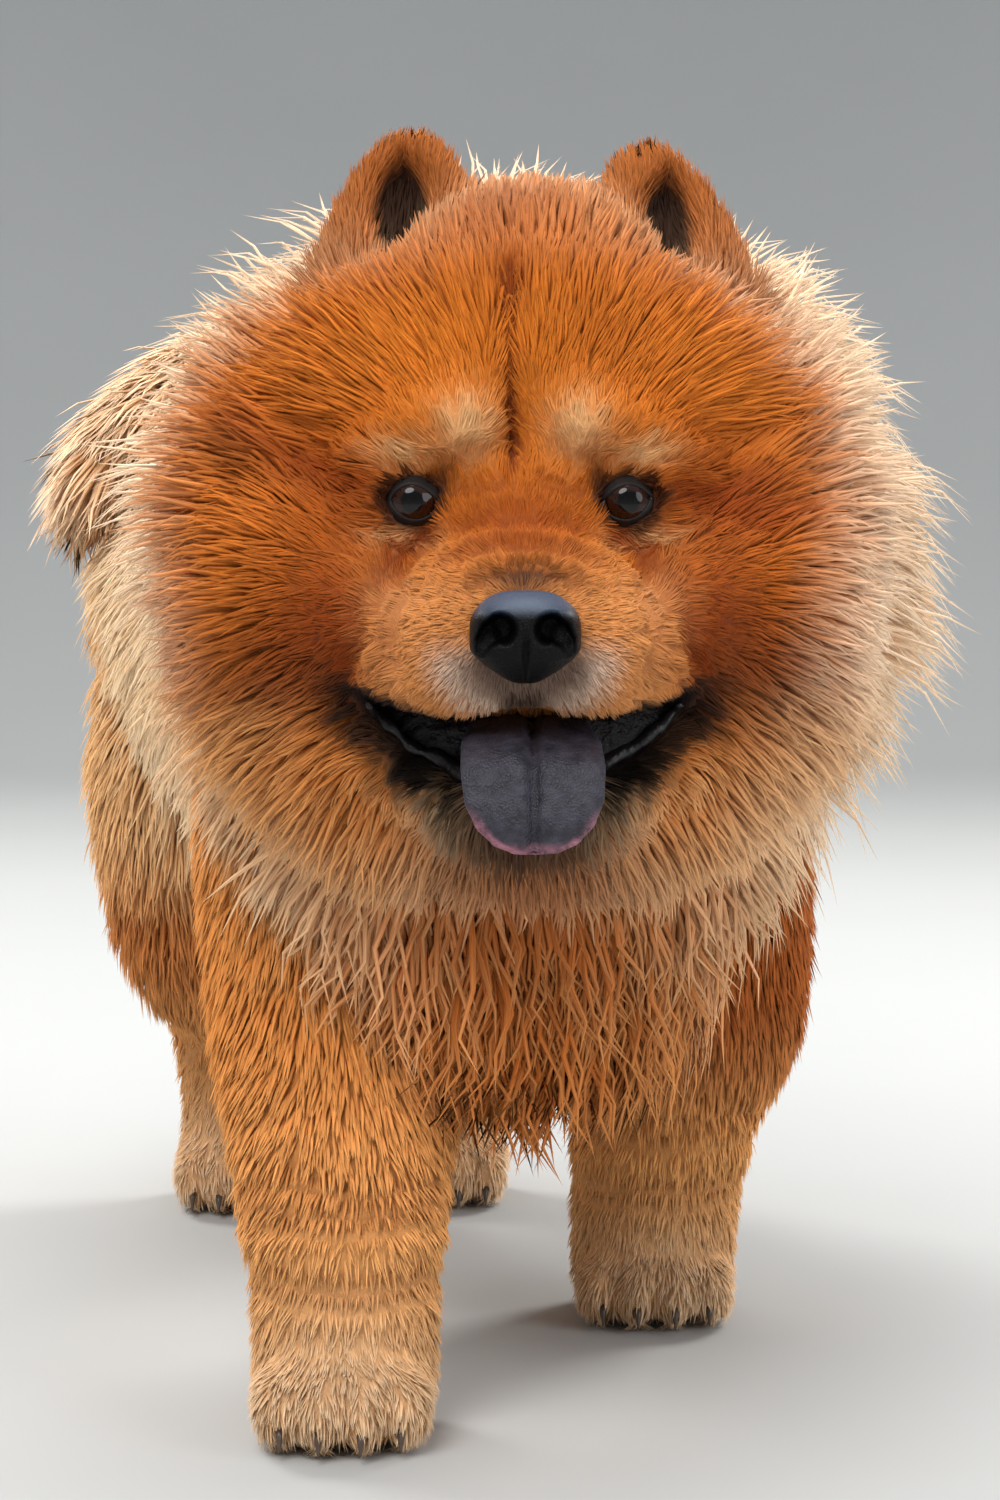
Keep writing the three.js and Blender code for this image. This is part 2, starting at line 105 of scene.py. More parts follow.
def hash01(cells, salt):
    # Repeatable number from 0 to 1 for each whole-number cell: frac(sin(cell . k) * 43758.5)
    k = np.array([12.9898, 78.233, 37.719]) + salt * 3.17
    s = np.sin(cells @ k) * 43758.5453
    return s - np.floor(s)


def valueNoise(points, size, salt):
    # Smooth noise from -1 to 1: the hashes of the 8 corners of a cell of this size, blended by 3t^2 - 2t^3
    q = points / size
    base = np.floor(q)
    f = q - base
    f = f * f * (3 - 2 * f)
    total = np.zeros(len(points))
    for i in (0, 1):
        for j in (0, 1):
            for k in (0, 1):
                weight = abs(1 - i - f[:, 0]) * abs(1 - j - f[:, 1]) * abs(1 - k - f[:, 2])
                total += weight * hash01(base + np.array([i, j, k]), salt)
    return total * 2 - 1


class Sweep:
    # Sections [centre, half width, half height] along a smooth line
    def __init__(self, sections, side=(1, 0, 0), power=2.0):
        self.at = np.array([s[0] for s in sections], float)
        self.size = np.array([s[1:3] for s in sections], float)
        self.side = np.array(side, float)
        self.power = power

    def centre(self, t):
        # Catmull-Rom through the section centres
        p = np.vstack([2 * self.at[0] - self.at[1], self.at, 2 * self.at[-1] - self.at[-2]])
        place = np.clip(t, 0, 1) * (len(self.at) - 1)
        i = np.minimum(place.astype(int), len(self.at) - 2)
        s = (place - i)[:, None]
        a, b, c, d = p[i], p[i + 1], p[i + 2], p[i + 3]
        return 0.5 * (2 * b + (c - a) * s + (2 * a - 5 * b + 4 * c - d) * s**2 + (3 * b - a - 3 * c + d) * s**3)

    def sizes(self, t):
        # Between two sections, the mean of a straight blend and of 3t^2 - 2t^3
        place = np.clip(t, 0, 1) * (len(self.size) - 1)
        i = np.minimum(place.astype(int), len(self.size) - 2)
        s = (place - i)[:, None]
        s = (s * s * (3 - 2 * s) + s) / 2
        return self.size[i] * (1 - s) + self.size[i + 1] * s

    def axes(self, t):
        # Directions along the line, across it towards the given side, and upwards
        step = 0.01
        along = unit(self.centre(np.minimum(t + step, 1)) - self.centre(np.maximum(t - step, 0)))
        across = unit(self.side - along * (along @ self.side)[:, None])
        return along, across, np.cross(across, along)

    def mesh(self, around=28, rows=22):
        # Rings at even t, each closed at its end on a pole a little outside it
        t = np.linspace(0, 1, rows + 1)
        along, across, up = self.axes(t)
        size = self.sizes(t)
        centre = self.centre(t)
        angle = np.linspace(0, 2 * np.pi, around, endpoint=False)
        c = np.sign(np.cos(angle)) * np.abs(np.cos(angle)) ** (2 / self.power)
        s = np.sign(np.sin(angle)) * np.abs(np.sin(angle)) ** (2 / self.power)
        ring = (
            centre[:, None]
            + across[:, None] * (c[None, :, None] * size[:, None, :1])
            + up[:, None] * (s[None, :, None] * size[:, None, 1:])
        )
        cap = size[[0, -1]].min(1)[:, None] * 0.25
        poles = np.array([centre[0] - along[0] * cap[0], centre[-1] + along[-1] * cap[1]])
        points = np.vstack([ring.reshape(-1, 3), poles])
        i, k = np.meshgrid(np.arange(rows), np.arange(around), indexing="ij")
        a = (i * around + k).ravel()
        b = (i * around + (k + 1) % around).ravel()
        faces = [np.stack([a, a + around, b], 1), np.stack([b, a + around, b + around], 1)]
        k = np.arange(around)
        n = len(points)
        faces.append(np.stack([np.full(around, n - 2), k, (k + 1) % around], 1))
        last = rows * around
        faces.append(np.stack([np.full(around, n - 1), last + (k + 1) % around, last + k], 1))
        return points, np.vstack(faces)


def egg(centre, radii, turn=0.0, around=28, rows=18):
    # Ellipsoid turned about Y by degrees: centre + R (rx sin v cos u, ry sin v sin u, rz cos v)
    u = np.linspace(0, 2 * np.pi, around, endpoint=False)
    v = np.linspace(0, np.pi, rows + 1)[1:-1]
    flat = np.outer(np.sin(v), np.cos(u)), np.outer(np.sin(v), np.sin(u))
    grid = np.stack([*flat, np.outer(np.cos(v), np.ones(around))], 2)
    points = np.vstack([grid.reshape(-1, 3), [[0, 0, 1], [0, 0, -1]]]) * np.array(radii, float)
    a = math.radians(turn)
    points = points @ np.array([[math.cos(a), 0, math.sin(a)], [0, 1, 0], [-math.sin(a), 0, math.cos(a)]]).T
    n = len(v)
    i, k = np.meshgrid(np.arange(n - 1), np.arange(around), indexing="ij")
    p = (i * around + k).ravel()
    q = (i * around + (k + 1) % around).ravel()
    k = np.arange(around)
    faces = np.vstack([
        np.stack([p, p + around, q], 1),
        np.stack([q, p + around, q + around], 1),
        np.stack([np.full(around, n * around), k, (k + 1) % around], 1),
        np.stack([np.full(around, n * around + 1), (n - 1) * around + (k + 1) % around, (n - 1) * around + k], 1),
    ])
    return points + np.asarray(centre, float), faces


def meshObject(name, points, faces):
    # A mesh object from design points in millimetres and faces of one size
    mesh = bpy.data.meshes.new(name)
    faces = np.ascontiguousarray(faces, dtype=np.int32)
    mesh.vertices.add(len(points))
    mesh.vertices.foreach_set("co", toScene(points).astype(np.float32).ravel())
    mesh.loops.add(faces.size)
    mesh.loops.foreach_set("vertex_index", faces.ravel())
    mesh.polygons.add(len(faces))
    mesh.polygons.foreach_set("loop_start", np.arange(0, faces.size, faces.shape[1], dtype=np.int32))
    mesh.update(calc_edges=True)
    mesh.shade_smooth()
    piece = bpy.data.objects.new(name, mesh)
    bpy.context.scene.collection.objects.link(piece)
    return piece


def readMesh(mesh):
    # Points in design millimetres, and triangles
    points = np.empty(len(mesh.vertices) * 3)
    mesh.vertices.foreach_get("co", points)
    points = (points.reshape(-1, 3) - shift) * 1000
    mesh.calc_loop_triangles()
    faces = np.empty(len(mesh.loop_triangles) * 3, int)
    mesh.loop_triangles.foreach_get("vertices", faces)
    return points, faces.reshape(-1, 3)


def setColours(mesh, colours):
    # Linear colours at the points, in the attribute that the materials read
    layer = mesh.attributes.new("coatColour", "FLOAT_COLOR", "POINT")
    rgba = np.ones((len(colours), 4), np.float32)
    rgba[:, :3] = colours
    layer.data.foreach_set("color", rgba.ravel())


def vertexNormals(points, faces):
    # Sum of the faces' cross products at each corner
    cross = np.cross(points[faces[:, 1]] - points[faces[:, 0]], points[faces[:, 2]] - points[faces[:, 0]])
    normals = np.zeros_like(points)
    for k in range(3):
        for axis in range(3):
            normals[:, axis] += np.bincount(faces[:, k], cross[:, axis], len(points))
    return unit(normals)


def relaxed(points, faces, rounds, keep):
    # Laplacian smoothing: each point moves (1 - keep) of the way to the mean of its neighbours
    edges = np.unique(np.sort(np.vstack([faces[:, [0, 1]], faces[:, [1, 2]], faces[:, [2, 0]]]), 1), axis=0)
    i, j = edges[:, 0], edges[:, 1]
    count = np.bincount(i, minlength=len(points)) + np.bincount(j, minlength=len(points))
    for _ in range(rounds):
        mean = np.stack([
            np.bincount(i, points[j, a], len(points)) + np.bincount(j, points[i, a], len(points)) for a in range(3)
        ], 1) / count[:, None]
        k = keep if np.isscalar(keep) else keep[:, None]
        points = points * k + mean * (1 - k)
    return points


class Sock:
    # A socket or a constant, with arithmetic that makes Math nodes
    tree = None

    def __init__(self, value):
        self.value = value

    @classmethod
    def node(cls, kind, settings=None, inputs=None, out=0):
        made = cls.tree.nodes.new(kind)
        for key, value in (settings or {}).items():
            setattr(made, key, value)
        for key, value in (inputs or {}).items():
            value = value.value if isinstance(value, Sock) else value
            if isinstance(value, bpy.types.NodeSocket):
                cls.tree.links.new(value, made.inputs[key])
            else:
                made.inputs[key].default_value = value
        return Sock(made.outputs[out])

    def maths(self, operation, other):
        return Sock.node("ShaderNodeMath", {"operation": operation}, {0: self, 1: other})

    def __add__(self, other):
        return self.maths("ADD", other)

    def __radd__(self, other):
        return Sock(other).maths("ADD", self)

    def __sub__(self, other):
        return self.maths("SUBTRACT", other)

    def __rsub__(self, other):
        return Sock(other).maths("SUBTRACT", self)

    def __mul__(self, other):
        return self.maths("MULTIPLY", other)

    def __rmul__(self, other):
        return Sock(other).maths("MULTIPLY", self)

    def over(self, start, end):
        # 0 at start and 1 at end, smoothly between them
        ends = {0: self, 1: start, 2: end, 3: 0.0, 4: 1.0}
        return Sock.node("ShaderNodeMapRange", {"interpolation_type": "SMOOTHSTEP"}, ends)


def mix(share, a, b, blend="MIX"):
    return Sock.node("ShaderNodeMix", {"data_type": "RGBA", "blend_type": blend}, {0: share, 6: a, 7: b}, 2)


def rgba(colour):
    return (*[float(c) for c in colour], 1.0)


def objectPoint():
    return Sock.node("ShaderNodeTexCoord", out="Object")


def noise(scale, detail=3.0, rough=0.55, vector=None):
    settings = {"Vector": vector or objectPoint(), "Scale": scale, "Detail": detail, "Roughness": rough}
    return Sock.node("ShaderNodeTexNoise", {}, settings, "Fac")


def vectorMaths(operation, first, second=None, out=0):
    inputs = {0: first} if second is None else {0: first, 1: second}
    return Sock.node("ShaderNodeVectorMath", {"operation": operation}, inputs, out)


def attribute(name, out="Color"):
    return Sock.node("ShaderNodeAttribute", {"attribute_name": name}, out=out)


def bumped(height, strength, distance):
    return Sock.node("ShaderNodeBump", {}, {"Height": height, "Strength": strength, "Distance": distance})


def material(name, build, **constants):
    # Constants go on the shader's own sockets, and what build returns is linked to them
    made = bpy.data.materials.new(name)
    made.use_nodes = True
    Sock.tree = made.node_tree
    shader = made.node_tree.nodes["Principled BSDF"]
    for key, value in constants.items():
        shader.inputs[key.replace("_", " ")].default_value = value
    for key, value in build().items():
        if isinstance(value, Sock):
            made.node_tree.links.new(value.value, shader.inputs[key])
        else:
            shader.inputs[key].default_value = value
    return made


scene = bpy.context.scene
cameraValues = {"back": -1.750, "height": 0.420, "tilt": 4.53, "focal": 3714.0, "rows": 1500.0, "sensor": 36.0}
lens = bpy.data.cameras.new("camera")
lens.sensor_width = cameraValues["sensor"]
lens.lens = cameraValues["focal"] / cameraValues["rows"] * cameraValues["sensor"]
lens.clip_start = 0.05
lens.clip_end = 60
camera = bpy.data.objects.new("camera", lens)
camera.location = Vector((0, cameraValues["back"], cameraValues["height"])) + Vector(shift)
camera.rotation_euler = (math.radians(90 - cameraValues["tilt"]), 0, 0)
scene.collection.objects.link(camera)
scene.camera = camera
scene.view_settings.view_transform = "Standard"


def areaLight(name, place, target, size, watts, colour):
    # Round soft lamp turned towards its target
    lamp = bpy.data.lights.new(name, "AREA")
    lamp.shape = "DISK"
    lamp.size = size
    lamp.energy = watts
    lamp.color = colour
    holder = bpy.data.objects.new(name, lamp)
    holder.location = place
    holder.rotation_euler = (Vector(target) - Vector(place)).to_track_quat("-Z", "Y").to_euler()
    scene.collection.objects.link(holder)


# Lamps: [place, target, size, watts, colour]
lamps = {
    "key": [(-0.8, -2.0, 2.5), (0, 0, 0.32), 1.8, 62, (1.0, 0.98, 0.95)],
    "fill": [(2.2, -1.6, 1.2), (0, 0, 0.32), 1.8, 24, (0.94, 0.97, 1.0)],
    "rimLeft": [(-1.6, 1.9, 1.9), (0, 0.1, 0.4), 1.0, 46, (1.0, 0.98, 0.94)],
    "rimRight": [(1.7, 1.7, 1.8), (0, 0.1, 0.4), 1.0, 46, (1.0, 0.98, 0.94)],
    "top": [(0, 0.2, 2.8), (0, 0, 0.32), 2.0, 34, (0.95, 0.98, 1.0)],
}
for name, lamp in lamps.items():
    areaLight(name, *lamp)
worldValues = {"colour": (0.80, 0.84, 0.88, 1), "strength": 0.55}
world = bpy.data.worlds.new("studio")
world.use_nodes = True
world.node_tree.nodes["Background"].inputs["Color"].default_value = worldValues["colour"]
world.node_tree.nodes["Background"].inputs["Strength"].default_value = worldValues["strength"]
scene.world = world


def studioFloor():
    # Flat floor that curves up all round into a backdrop far from the dog: z = rise * ease(start, end, radius)
    values = {"reach": 8.5, "start": 3.2, "end": 8.2, "rise": 5.5, "cells": 64, "grey": (0.50, 0.505, 0.50)}
    side = np.linspace(-values["reach"], values["reach"], values["cells"] + 1)
    x, y = np.meshgrid(side, side, indexing="xy")
    z = values["rise"] * ease(values["start"], values["end"], np.hypot(x, y))
    points = np.stack([x, y, z], 2).reshape(-1, 3)
    i, k = np.meshgrid(np.arange(values["cells"]), np.arange(values["cells"]), indexing="ij")
    a = (i * (values["cells"] + 1) + k).ravel()
    faces = np.stack([a, a + 1, a + values["cells"] + 2, a + values["cells"] + 1], 1)
    floor = meshObject("studio_floor", (points - shift) * 1000, faces)
    grey = np.array(values["grey"])
    floor.data.materials.append(material(
        "floor", lambda: {"Base Color": mix(noise(3.0), rgba(grey), rgba(grey * 1.06))}, Roughness=0.8))


studioFloor()
say("stage")


# Body forms under the coat: [centre, half width, half height, depth of coat], where the first two reach the tips
def cored(sections, **options):
    return Sweep([[at, wide - coat, tall - coat] for at, wide, tall, coat in sections], **options)


forms = {
    "ruff": cored([
        [inHead(1, 20, 2), 62, 58, 2], [inHead(1, 34, -6), 106, 104, 6], [inHead(1, 64, -18), 142, 143, 17],
        [inHead(1, 112, -24), 157, 160, 28], [inHead(1, 160, -24), 146, 146, 30], [inHead(1, 196, -20), 104, 104, 26],
    ]),
    "muzzle": cored([
        [inHead(0, 40, -38), 60, 42, 3], [inHead(0, 0, -42), 57, 38, 3],
        [inHead(0, -38, -51), 49, 31, 3], [inHead(0, -66, -56), 38, 24, 3],
    ], power=2.4),
    "neck": cored([
        [(9, -205, 385), 110, 108, 36], [(11, -150, 378), 172, 166, 50], [(13, -85, 376), 198, 194, 54],
        [(6, -10, 378), 184, 178, 50], [(-4, 60, 386), 142, 128, 38], [(-8, 100, 394), 80, 66, 28],
    ]),
    "bib": cored([
        [(10, -160, 330), 128, 80, 26], [(10, -152, 265), 122, 74, 28], [(11, -142, 210), 98, 60, 28],
        [(12, -136, 180), 60, 42, 24],
    ]),
    "torso": cored([
        [inBody(10, 0, 300), 74, 80, 18], [inBody(60, 0, 306), 116, 116, 20], [inBody(130, 0, 320), 136, 136, 22],
        [inBody(250, 0, 332), 142, 136, 22], [inBody(370, 0, 338), 147, 130, 22], [inBody(470, 0, 340), 150, 126, 24],
        [inBody(545, 0, 336), 122, 110, 24], [inBody(585, 0, 330), 74, 74, 22],
    ], side=bodyLeft),
    "tail": cored([
        [inBody(556, 4, 400), 34, 34, 12], [inBody(566, 0, 434), 42, 38, 20], [inBody(518, -24, 466), 50, 38, 26],
        [inBody(455, -64, 466), 56, 38, 28], [inBody(417, -110, 443), 54, 34, 26],
        [inBody(402, -138, 411), 42, 26, 20], [inBody(398, -148, 388), 22, 16, 12],
    ], side=bodyBack),
}


def leg(*sections):
    # Sections of [x, y, z, half width, half height, depth of coat] from the body down to the paw
    return cored([[(x, y, z), wide, tall, coat] for x, y, z, wide, tall, coat in sections])


legForms = {
    "front_leg_right": leg(
        (-78, -80, 320, 60, 78, 12), (-80, -84, 240, 62, 70, 10), (-72, -112, 165, 60, 58, 8),
        (-69, -146, 105, 52, 50, 6), (-67, -164, 58, 44, 43, 4), (-67, -166, 26, 43, 40, 4)),
    "front_leg_left": leg(
        (72, -42, 320, 64, 78, 12), (86, -12, 240, 64, 74, 10), (88, 18, 160, 62, 66, 8),
        (80, 44, 100, 50, 50, 6), (76, 54, 52, 44, 44, 4), (75, 54, 26, 43, 41, 4)),
    "hind_leg_right": leg(
        (-148, 240, 330, 72, 94, 18), (-156, 236, 250, 74, 92, 18), (-158, 272, 175, 62, 74, 15),
        (-152, 336, 118, 42, 50, 7), (-147, 334, 60, 37, 37, 4), (-147, 328, 26, 37, 36, 4)),
    "hind_leg_left": leg(
        (-26, 266, 330, 72, 94, 18), (-18, 262, 250, 74, 92, 18), (-20, 300, 175, 62, 74, 15),
        (-28, 358, 118, 42, 50, 7), (-31, 352, 60, 37, 37, 4), (-31, 346, 26, 37, 36, 4)),
}
forms.update(legForms)
paws = {
    "front_paw_right": ((-67, -180), (42, 50)),
    "front_paw_left": ((75, 46), (42, 49)),
    "hind_paw_right": ((-147, 318), (38, 48)),
    "hind_paw_left": ((-31, 334), (38, 48)),
}
toeSpread = (-0.66, -0.23, 0.23, 0.66)
wristWrinkles = (112, 103, 94, 70, 62)
pawCoat = 3.5


def earForm(base, tip, facing):
    # A leaf, thin from front to back, from inside the head to a round tip
    base, tip = np.asarray(base, float), np.asarray(tip, float)

    def at(share):
        return base + (tip - base) * share

    return Sweep([
        [at(-0.6), 32, 14], [at(0), 31, 13], [at(0.45), 27, 10], [at(0.75), 20, 8], [at(0.93), 10, 5],
    ], side=facing)


ears = {
    "ear_right": (inHead(-50, 84, 106), inHead(-42, 90, 153), (1, -0.1, 0)),
    "ear_left": (inHead(63, 84, 99), inHead(49, 90, 147), (1, 0.25, 0)),
}
for name, (base, tip, facing) in ears.items():
    forms[name] = earForm(base, tip, facing)

eyeSpacing = 84.0
eyes = {"eye_right": inHead(-eyeSpacing / 2, 4, 0), "eye_left": inHead(eyeSpacing / 2, 4, 0)}
eyeRadius = 12.0

# Masses of the face: [centre, radii, turn]
faceMasses = [
    [inHead(1, 102, 36), (90, 88, 90), 0],
    [inHead(1, 52, 42), (84, 46, 56), 0],
    [inHead(-29, 15, 27), (29, 26, 17), -10],
    [inHead(31, 15, 27), (29, 26, 17), 10],
    [inHead(-51, 19, 17), (24, 22, 12), -17],
    [inHead(53, 19, 17), (24, 22, 12), 17],
    [inHead(-42, 10.5, -2), (26, 17, 19), 0],
    [inHead(42, 10.5, -2), (26, 17, 19), 0],
    [inHead(1, 6, -7), (28, 26, 25), 0],
    [inHead(-74, 40, -36), (44, 42, 44), 0],
    [inHead(76, 40, -36), (44, 42, 44), 0],
    [inHead(-56, 10, -46), (29, 34, 31), -18],
    [inHead(58, 10, -46), (29, 34, 31), 18],
    [inHead(-38, -12, -54), (31, 42, 30), -14],
    [inHead(40, -12, -54), (31, 42, 30), 14],
    [inHead(-23, -38, -58), (28, 34, 26), 0],
    [inHead(25, -38, -58), (28, 34, 26), 0],
    [inHead(1, -22, -31), (38, 48, 24), 0],
    [inHead(3, 10, -119), (44, 42, 13), 0],
    [inHead(4, -20, -114), (25, 36, 10), 0],
    [inHead(-30, 6, -114), (22, 30, 12), 0],
    [inHead(36, 6, -114), (22, 30, 12), 0],
    [inHead(-50, 18, -101), (18, 28, 12), -20],
    [inHead(56, 18, -101), (18, 28, 12), 20],
    [inHead(3, 56, -112), (68, 50, 36), 0],
]


# Creases of the face, seen from the front as lines of (left, up) from the middle of the face, with depth and width
def mirrored(line):
    # The same line on the other side of the face's middle, which is 0.75 mm to the left
    return [(1.5 - x, z) for x, z in line]


furrow = [(-4.5, 84), (-3.6, 48), (-2.6, 30), (-2.4, 12)]
browFold = [(-2.5, 9), (-10, 5), (-19, 3), (-27, 3)]
templeRight = [(-54, 5), (-66, 7.5), (-80, 10), (-98, 11)]
templeLeft = [(54, 5), (65, 2), (79, -6), (93, -13), (104, -20)]
cheekFold = [(-29, -9), (-42, -17), (-53, -30), (-62, -45), (-68, -62), (-68, -74)]
flewFold = [(-40, -27), (-48, -39), (-50, -54), (-45, -70)]
bridgeFoldHigh = [(-32, -14), (-18, -9), (0, -8), (18, -10), (34, -16)]
bridgeFoldLow = [(-33, -25), (-16, -18), (1, -16.5), (16, -18.5), (35, -27)]
noseFold = [(-22, -37), (-13, -29), (1, -26), (15, -29), (24, -38)]
creases = [
    [furrow, 6.5, 2.8], [browFold, 2.6, 3.4], [mirrored(browFold), 2.6, 3.4], [templeRight, 3.4, 9.0],
    [templeLeft, 4.6, 8.0], [cheekFold, 8.5, 4.6], [mirrored(cheekFold), 8.5, 4.6],
    [flewFold, 5.6, 3.6], [mirrored(flewFold), 5.6, 3.6], [bridgeFoldHigh, 3.2, 2.8], [bridgeFoldLow, 4.2, 2.8],
    [noseFold, 4.2, 2.8],
]


def mouthLine(x):
    # Height of the open mouth's middle, which rises to both corners: 22 * ((x - 2) / 66)^2 - 98
    return 22 * np.square((x - 2) / 66) - 98


def mouthShare(x, z):
    # 0 in the middle of the open mouth and 1 at its edge: the length of ((x - 2) / 68, above / half its height)
    above = z - mouthLine(x)
    return np.hypot((x - 2) / 68, above / np.where(above > 0, 11.5, 12))


def nearLine(x, z, line):
    # Distance in the front view to a line of joined segments, and the share of the way along it
    best, where = np.full(len(x), 1e9), np.zeros(len(x))
    for k, ((ax, az), (bx, bz)) in enumerate(zip(line[:-1], line[1:])):
        dx, dz = bx - ax, bz - az
        t = np.clip(((x - ax) * dx + (z - az) * dz) / (dx * dx + dz * dz), 0, 1)
        gap = np.hypot(x - ax - t * dx, z - az - t * dz)
        where = np.where(gap < best, (k + t) / (len(line) - 1), where)
        best = np.minimum(best, gap)
    return best, where


def creaseShare(points, widen=1.0):
    # Sum over the creases of depth * bell(gap / width), faded at both ends and behind the face
    x, y, z = (points - headAt).T
    total = np.zeros(len(points))
    for line, depth, width in creases:
        gap, where = nearLine(x, z, line)
        total += depth * bell(gap, width * widen) * ease(0, 0.12, where) * ease(1, 0.8, where)
    return total * ease(62, 30, y)


def bodySkin():
    # One skin over all the forms, face masses, feet and toes by a voxel remesh, smoothed less below the ankles
    values = {"voxel": 0.0038, "rounds": 8, "quickVoxel": 0.0045, "keep": (0.35, 0.52), "ankle": (48, 30)}
    parts = [sweep.mesh() for sweep in forms.values()]
    parts += [egg(*mass) for mass in faceMasses]
    for (x, y), (wide, long) in paws.values():
        parts.append(egg((x, y + 4, 24), (wide - pawCoat, long - pawCoat, 26)))
        parts.append(egg((x, y + 10, 44), (wide - 8, long - 16, 32)))
        for share in toeSpread:
            reach = long * (1.02 - 0.35 * share * share)
            parts.append(egg((x + share * wide * 0.95, y - reach + 24, 19), (wide * 0.25, 23, 17)))
    points, faces, start = [], [], 0
    for p, f in parts:
        points.append(p)
        faces.append(f + start)
        start += len(p)
    rough = meshObject("dog_skin", np.vstack(points), np.vstack(faces))
    remesh = rough.modifiers.new("remesh", "REMESH")
    remesh.mode = "VOXEL"
    remesh.voxel_size = values["voxel"]
    remesh.adaptivity = 0
    shaped = rough.evaluated_get(bpy.context.evaluated_depsgraph_get()).to_mesh()
    points, faces = readMesh(shaped)
    rough.evaluated_get(bpy.context.evaluated_depsgraph_get()).to_mesh_clear()
    bpy.data.objects.remove(rough)
    keep, more = values["keep"]
    points = relaxed(points, faces, values["rounds"], keep + more * ease(*values["ankle"], points[:, 2]))
    return points, faces


def faceDetail(points, faces):
    # Moves the skin along its normals for the furrow and folds, and back for the mouth, eye openings and ear cups
    values = {
        "wrinkle": (3.4, 2.8), "bridgeDip": 1.2, "mouthDepth": 15, "eyeOpening": (8.8, 7.0), "eyeBack": 1.0,
        "earCup": 12, "cupSize": (15, 27),
    }
    normals = vertexNormals(points, faces)
    x, y, z = (points - headAt).T
    move = -creaseShare(points)
    # Wrinkles across the front of the wrists
    level = points[:, 2]
    for wrinkle in wristWrinkles:
        gap = level - wrinkle - valueNoise(points, 30.0, 4.0) * 3
        depth, wide = values["wrinkle"]
        move -= depth * bell(gap, wide) * ease(0.2, -0.5, normals[:, 1]) * (points[:, 1] < 140)
    # The dip between the eyes
    move -= ease(80, 20, y) * values["bridgeDip"] * bell(x - 1, 10) * bell(z - 8, 8)
    points = points + normals * move[:, None]
    points[:, 1] += values["mouthDepth"] * ease(1.1, 0.6, mouthShare(x, z)) * (y < 60)
    for centre in eyes.values():
        ex, ey, ez = (points - centre).T
        wide, tall = values["eyeOpening"]
        inside = ease(1.12, 0.9, np.hypot(ex / wide, ez / tall)) * (ey < 4)
        points[:, 1] += inside * np.maximum(0, values["eyeBack"] - ey)
    for base, tip, facing in ears.values():
        base, tip, facing = np.asarray(base), np.asarray(tip), unit(np.asarray(facing, float))
        front = unit(np.cross(np.array([0, 0, 1.0]), facing))
        front = -front if front[1] > 0 else front
        q = points - (base + (tip - base) * 0.2)
        u, w = q @ facing, q @ unit(tip - base)
        wide, tall = values["cupSize"]
        depth = values["earCup"] * ease(1.15, 0.5, np.hypot(u / wide, (w + 2) / tall)) * (q @ front > -2)
        points = points - front * depth[:, None]
    return points


skinPoints, skinFaces = bodySkin()
skinPoints = faceDetail(skinPoints, skinFaces)
skinPoints[:, 2] = np.maximum(skinPoints[:, 2], 1.5)
say(f"skin {len(skinPoints)} points")


# Regions of the coat: points along each form's line, with radii
def regionLine(sweep, count=22):
    # Centres, mean radii and directions at even steps of a form's line
    t = np.linspace(0, 1, count)
    return sweep.centre(t), sweep.sizes(t).mean(1), sweep.axes(t)[0]


regionNames = ["head", "neck", "bib", "torso", "tail", *legForms, *paws, *ears, "muzzle", "jaw"]
regionLines = {name: regionLine(forms[name]) for name in ["neck", "bib", "torso", "tail", *legForms, *ears, "muzzle"]}
regionLines["head"] = regionLine(forms["ruff"])
for name, ((x, y), (wide, long)) in paws.items():
    line = Sweep([[(x, y - long * 0.6, 20), 26, 20], [(x, y, 26), 34, 26], [(x, y + long * 0.4, 30), 30, 26]])
    regionLines[name] = regionLine(line, 8)
regionLines["jaw"] = regionLine(Sweep([[inHead(3, -30, -118), 36, 14], [inHead(3, 40, -112), 60, 24]]), 8)


def regionWeights(points):
    # Weight exp(-q / 9 mm), where q is how much farther the region's balls are than the nearest, scaled to sum to 1
    gaps = np.empty((len(points), len(regionNames)))
    for k, name in enumerate(regionNames):
        centres, radii, _ = regionLines[name]
        best = np.full(len(points), 1e9)
        for centre, radius in zip(centres, radii):
            best = np.minimum(best, np.linalg.norm(points - centre, axis=1) - radius)
        gaps[:, k] = best
    gaps -= gaps.min(1, keepdims=True)
    weights = np.exp(-gaps / 9.0)
    return weights / weights.sum(1, keepdims=True)


def nearestTangent(points, name):
    # At the centre of the region's line nearest each point: its direction, its share of the way, and itself
    centres, _, along = regionLines[name]
    nearest = np.zeros(len(points), int)
    best = np.full(len(points), 1e9)
    for k, centre in enumerate(centres):
        gap = np.linalg.norm(points - centre, axis=1)
        nearest = np.where(gap < best, k, nearest)
        best = np.minimum(best, gap)
    return along[nearest], nearest / (len(centres) - 1), centres[nearest]


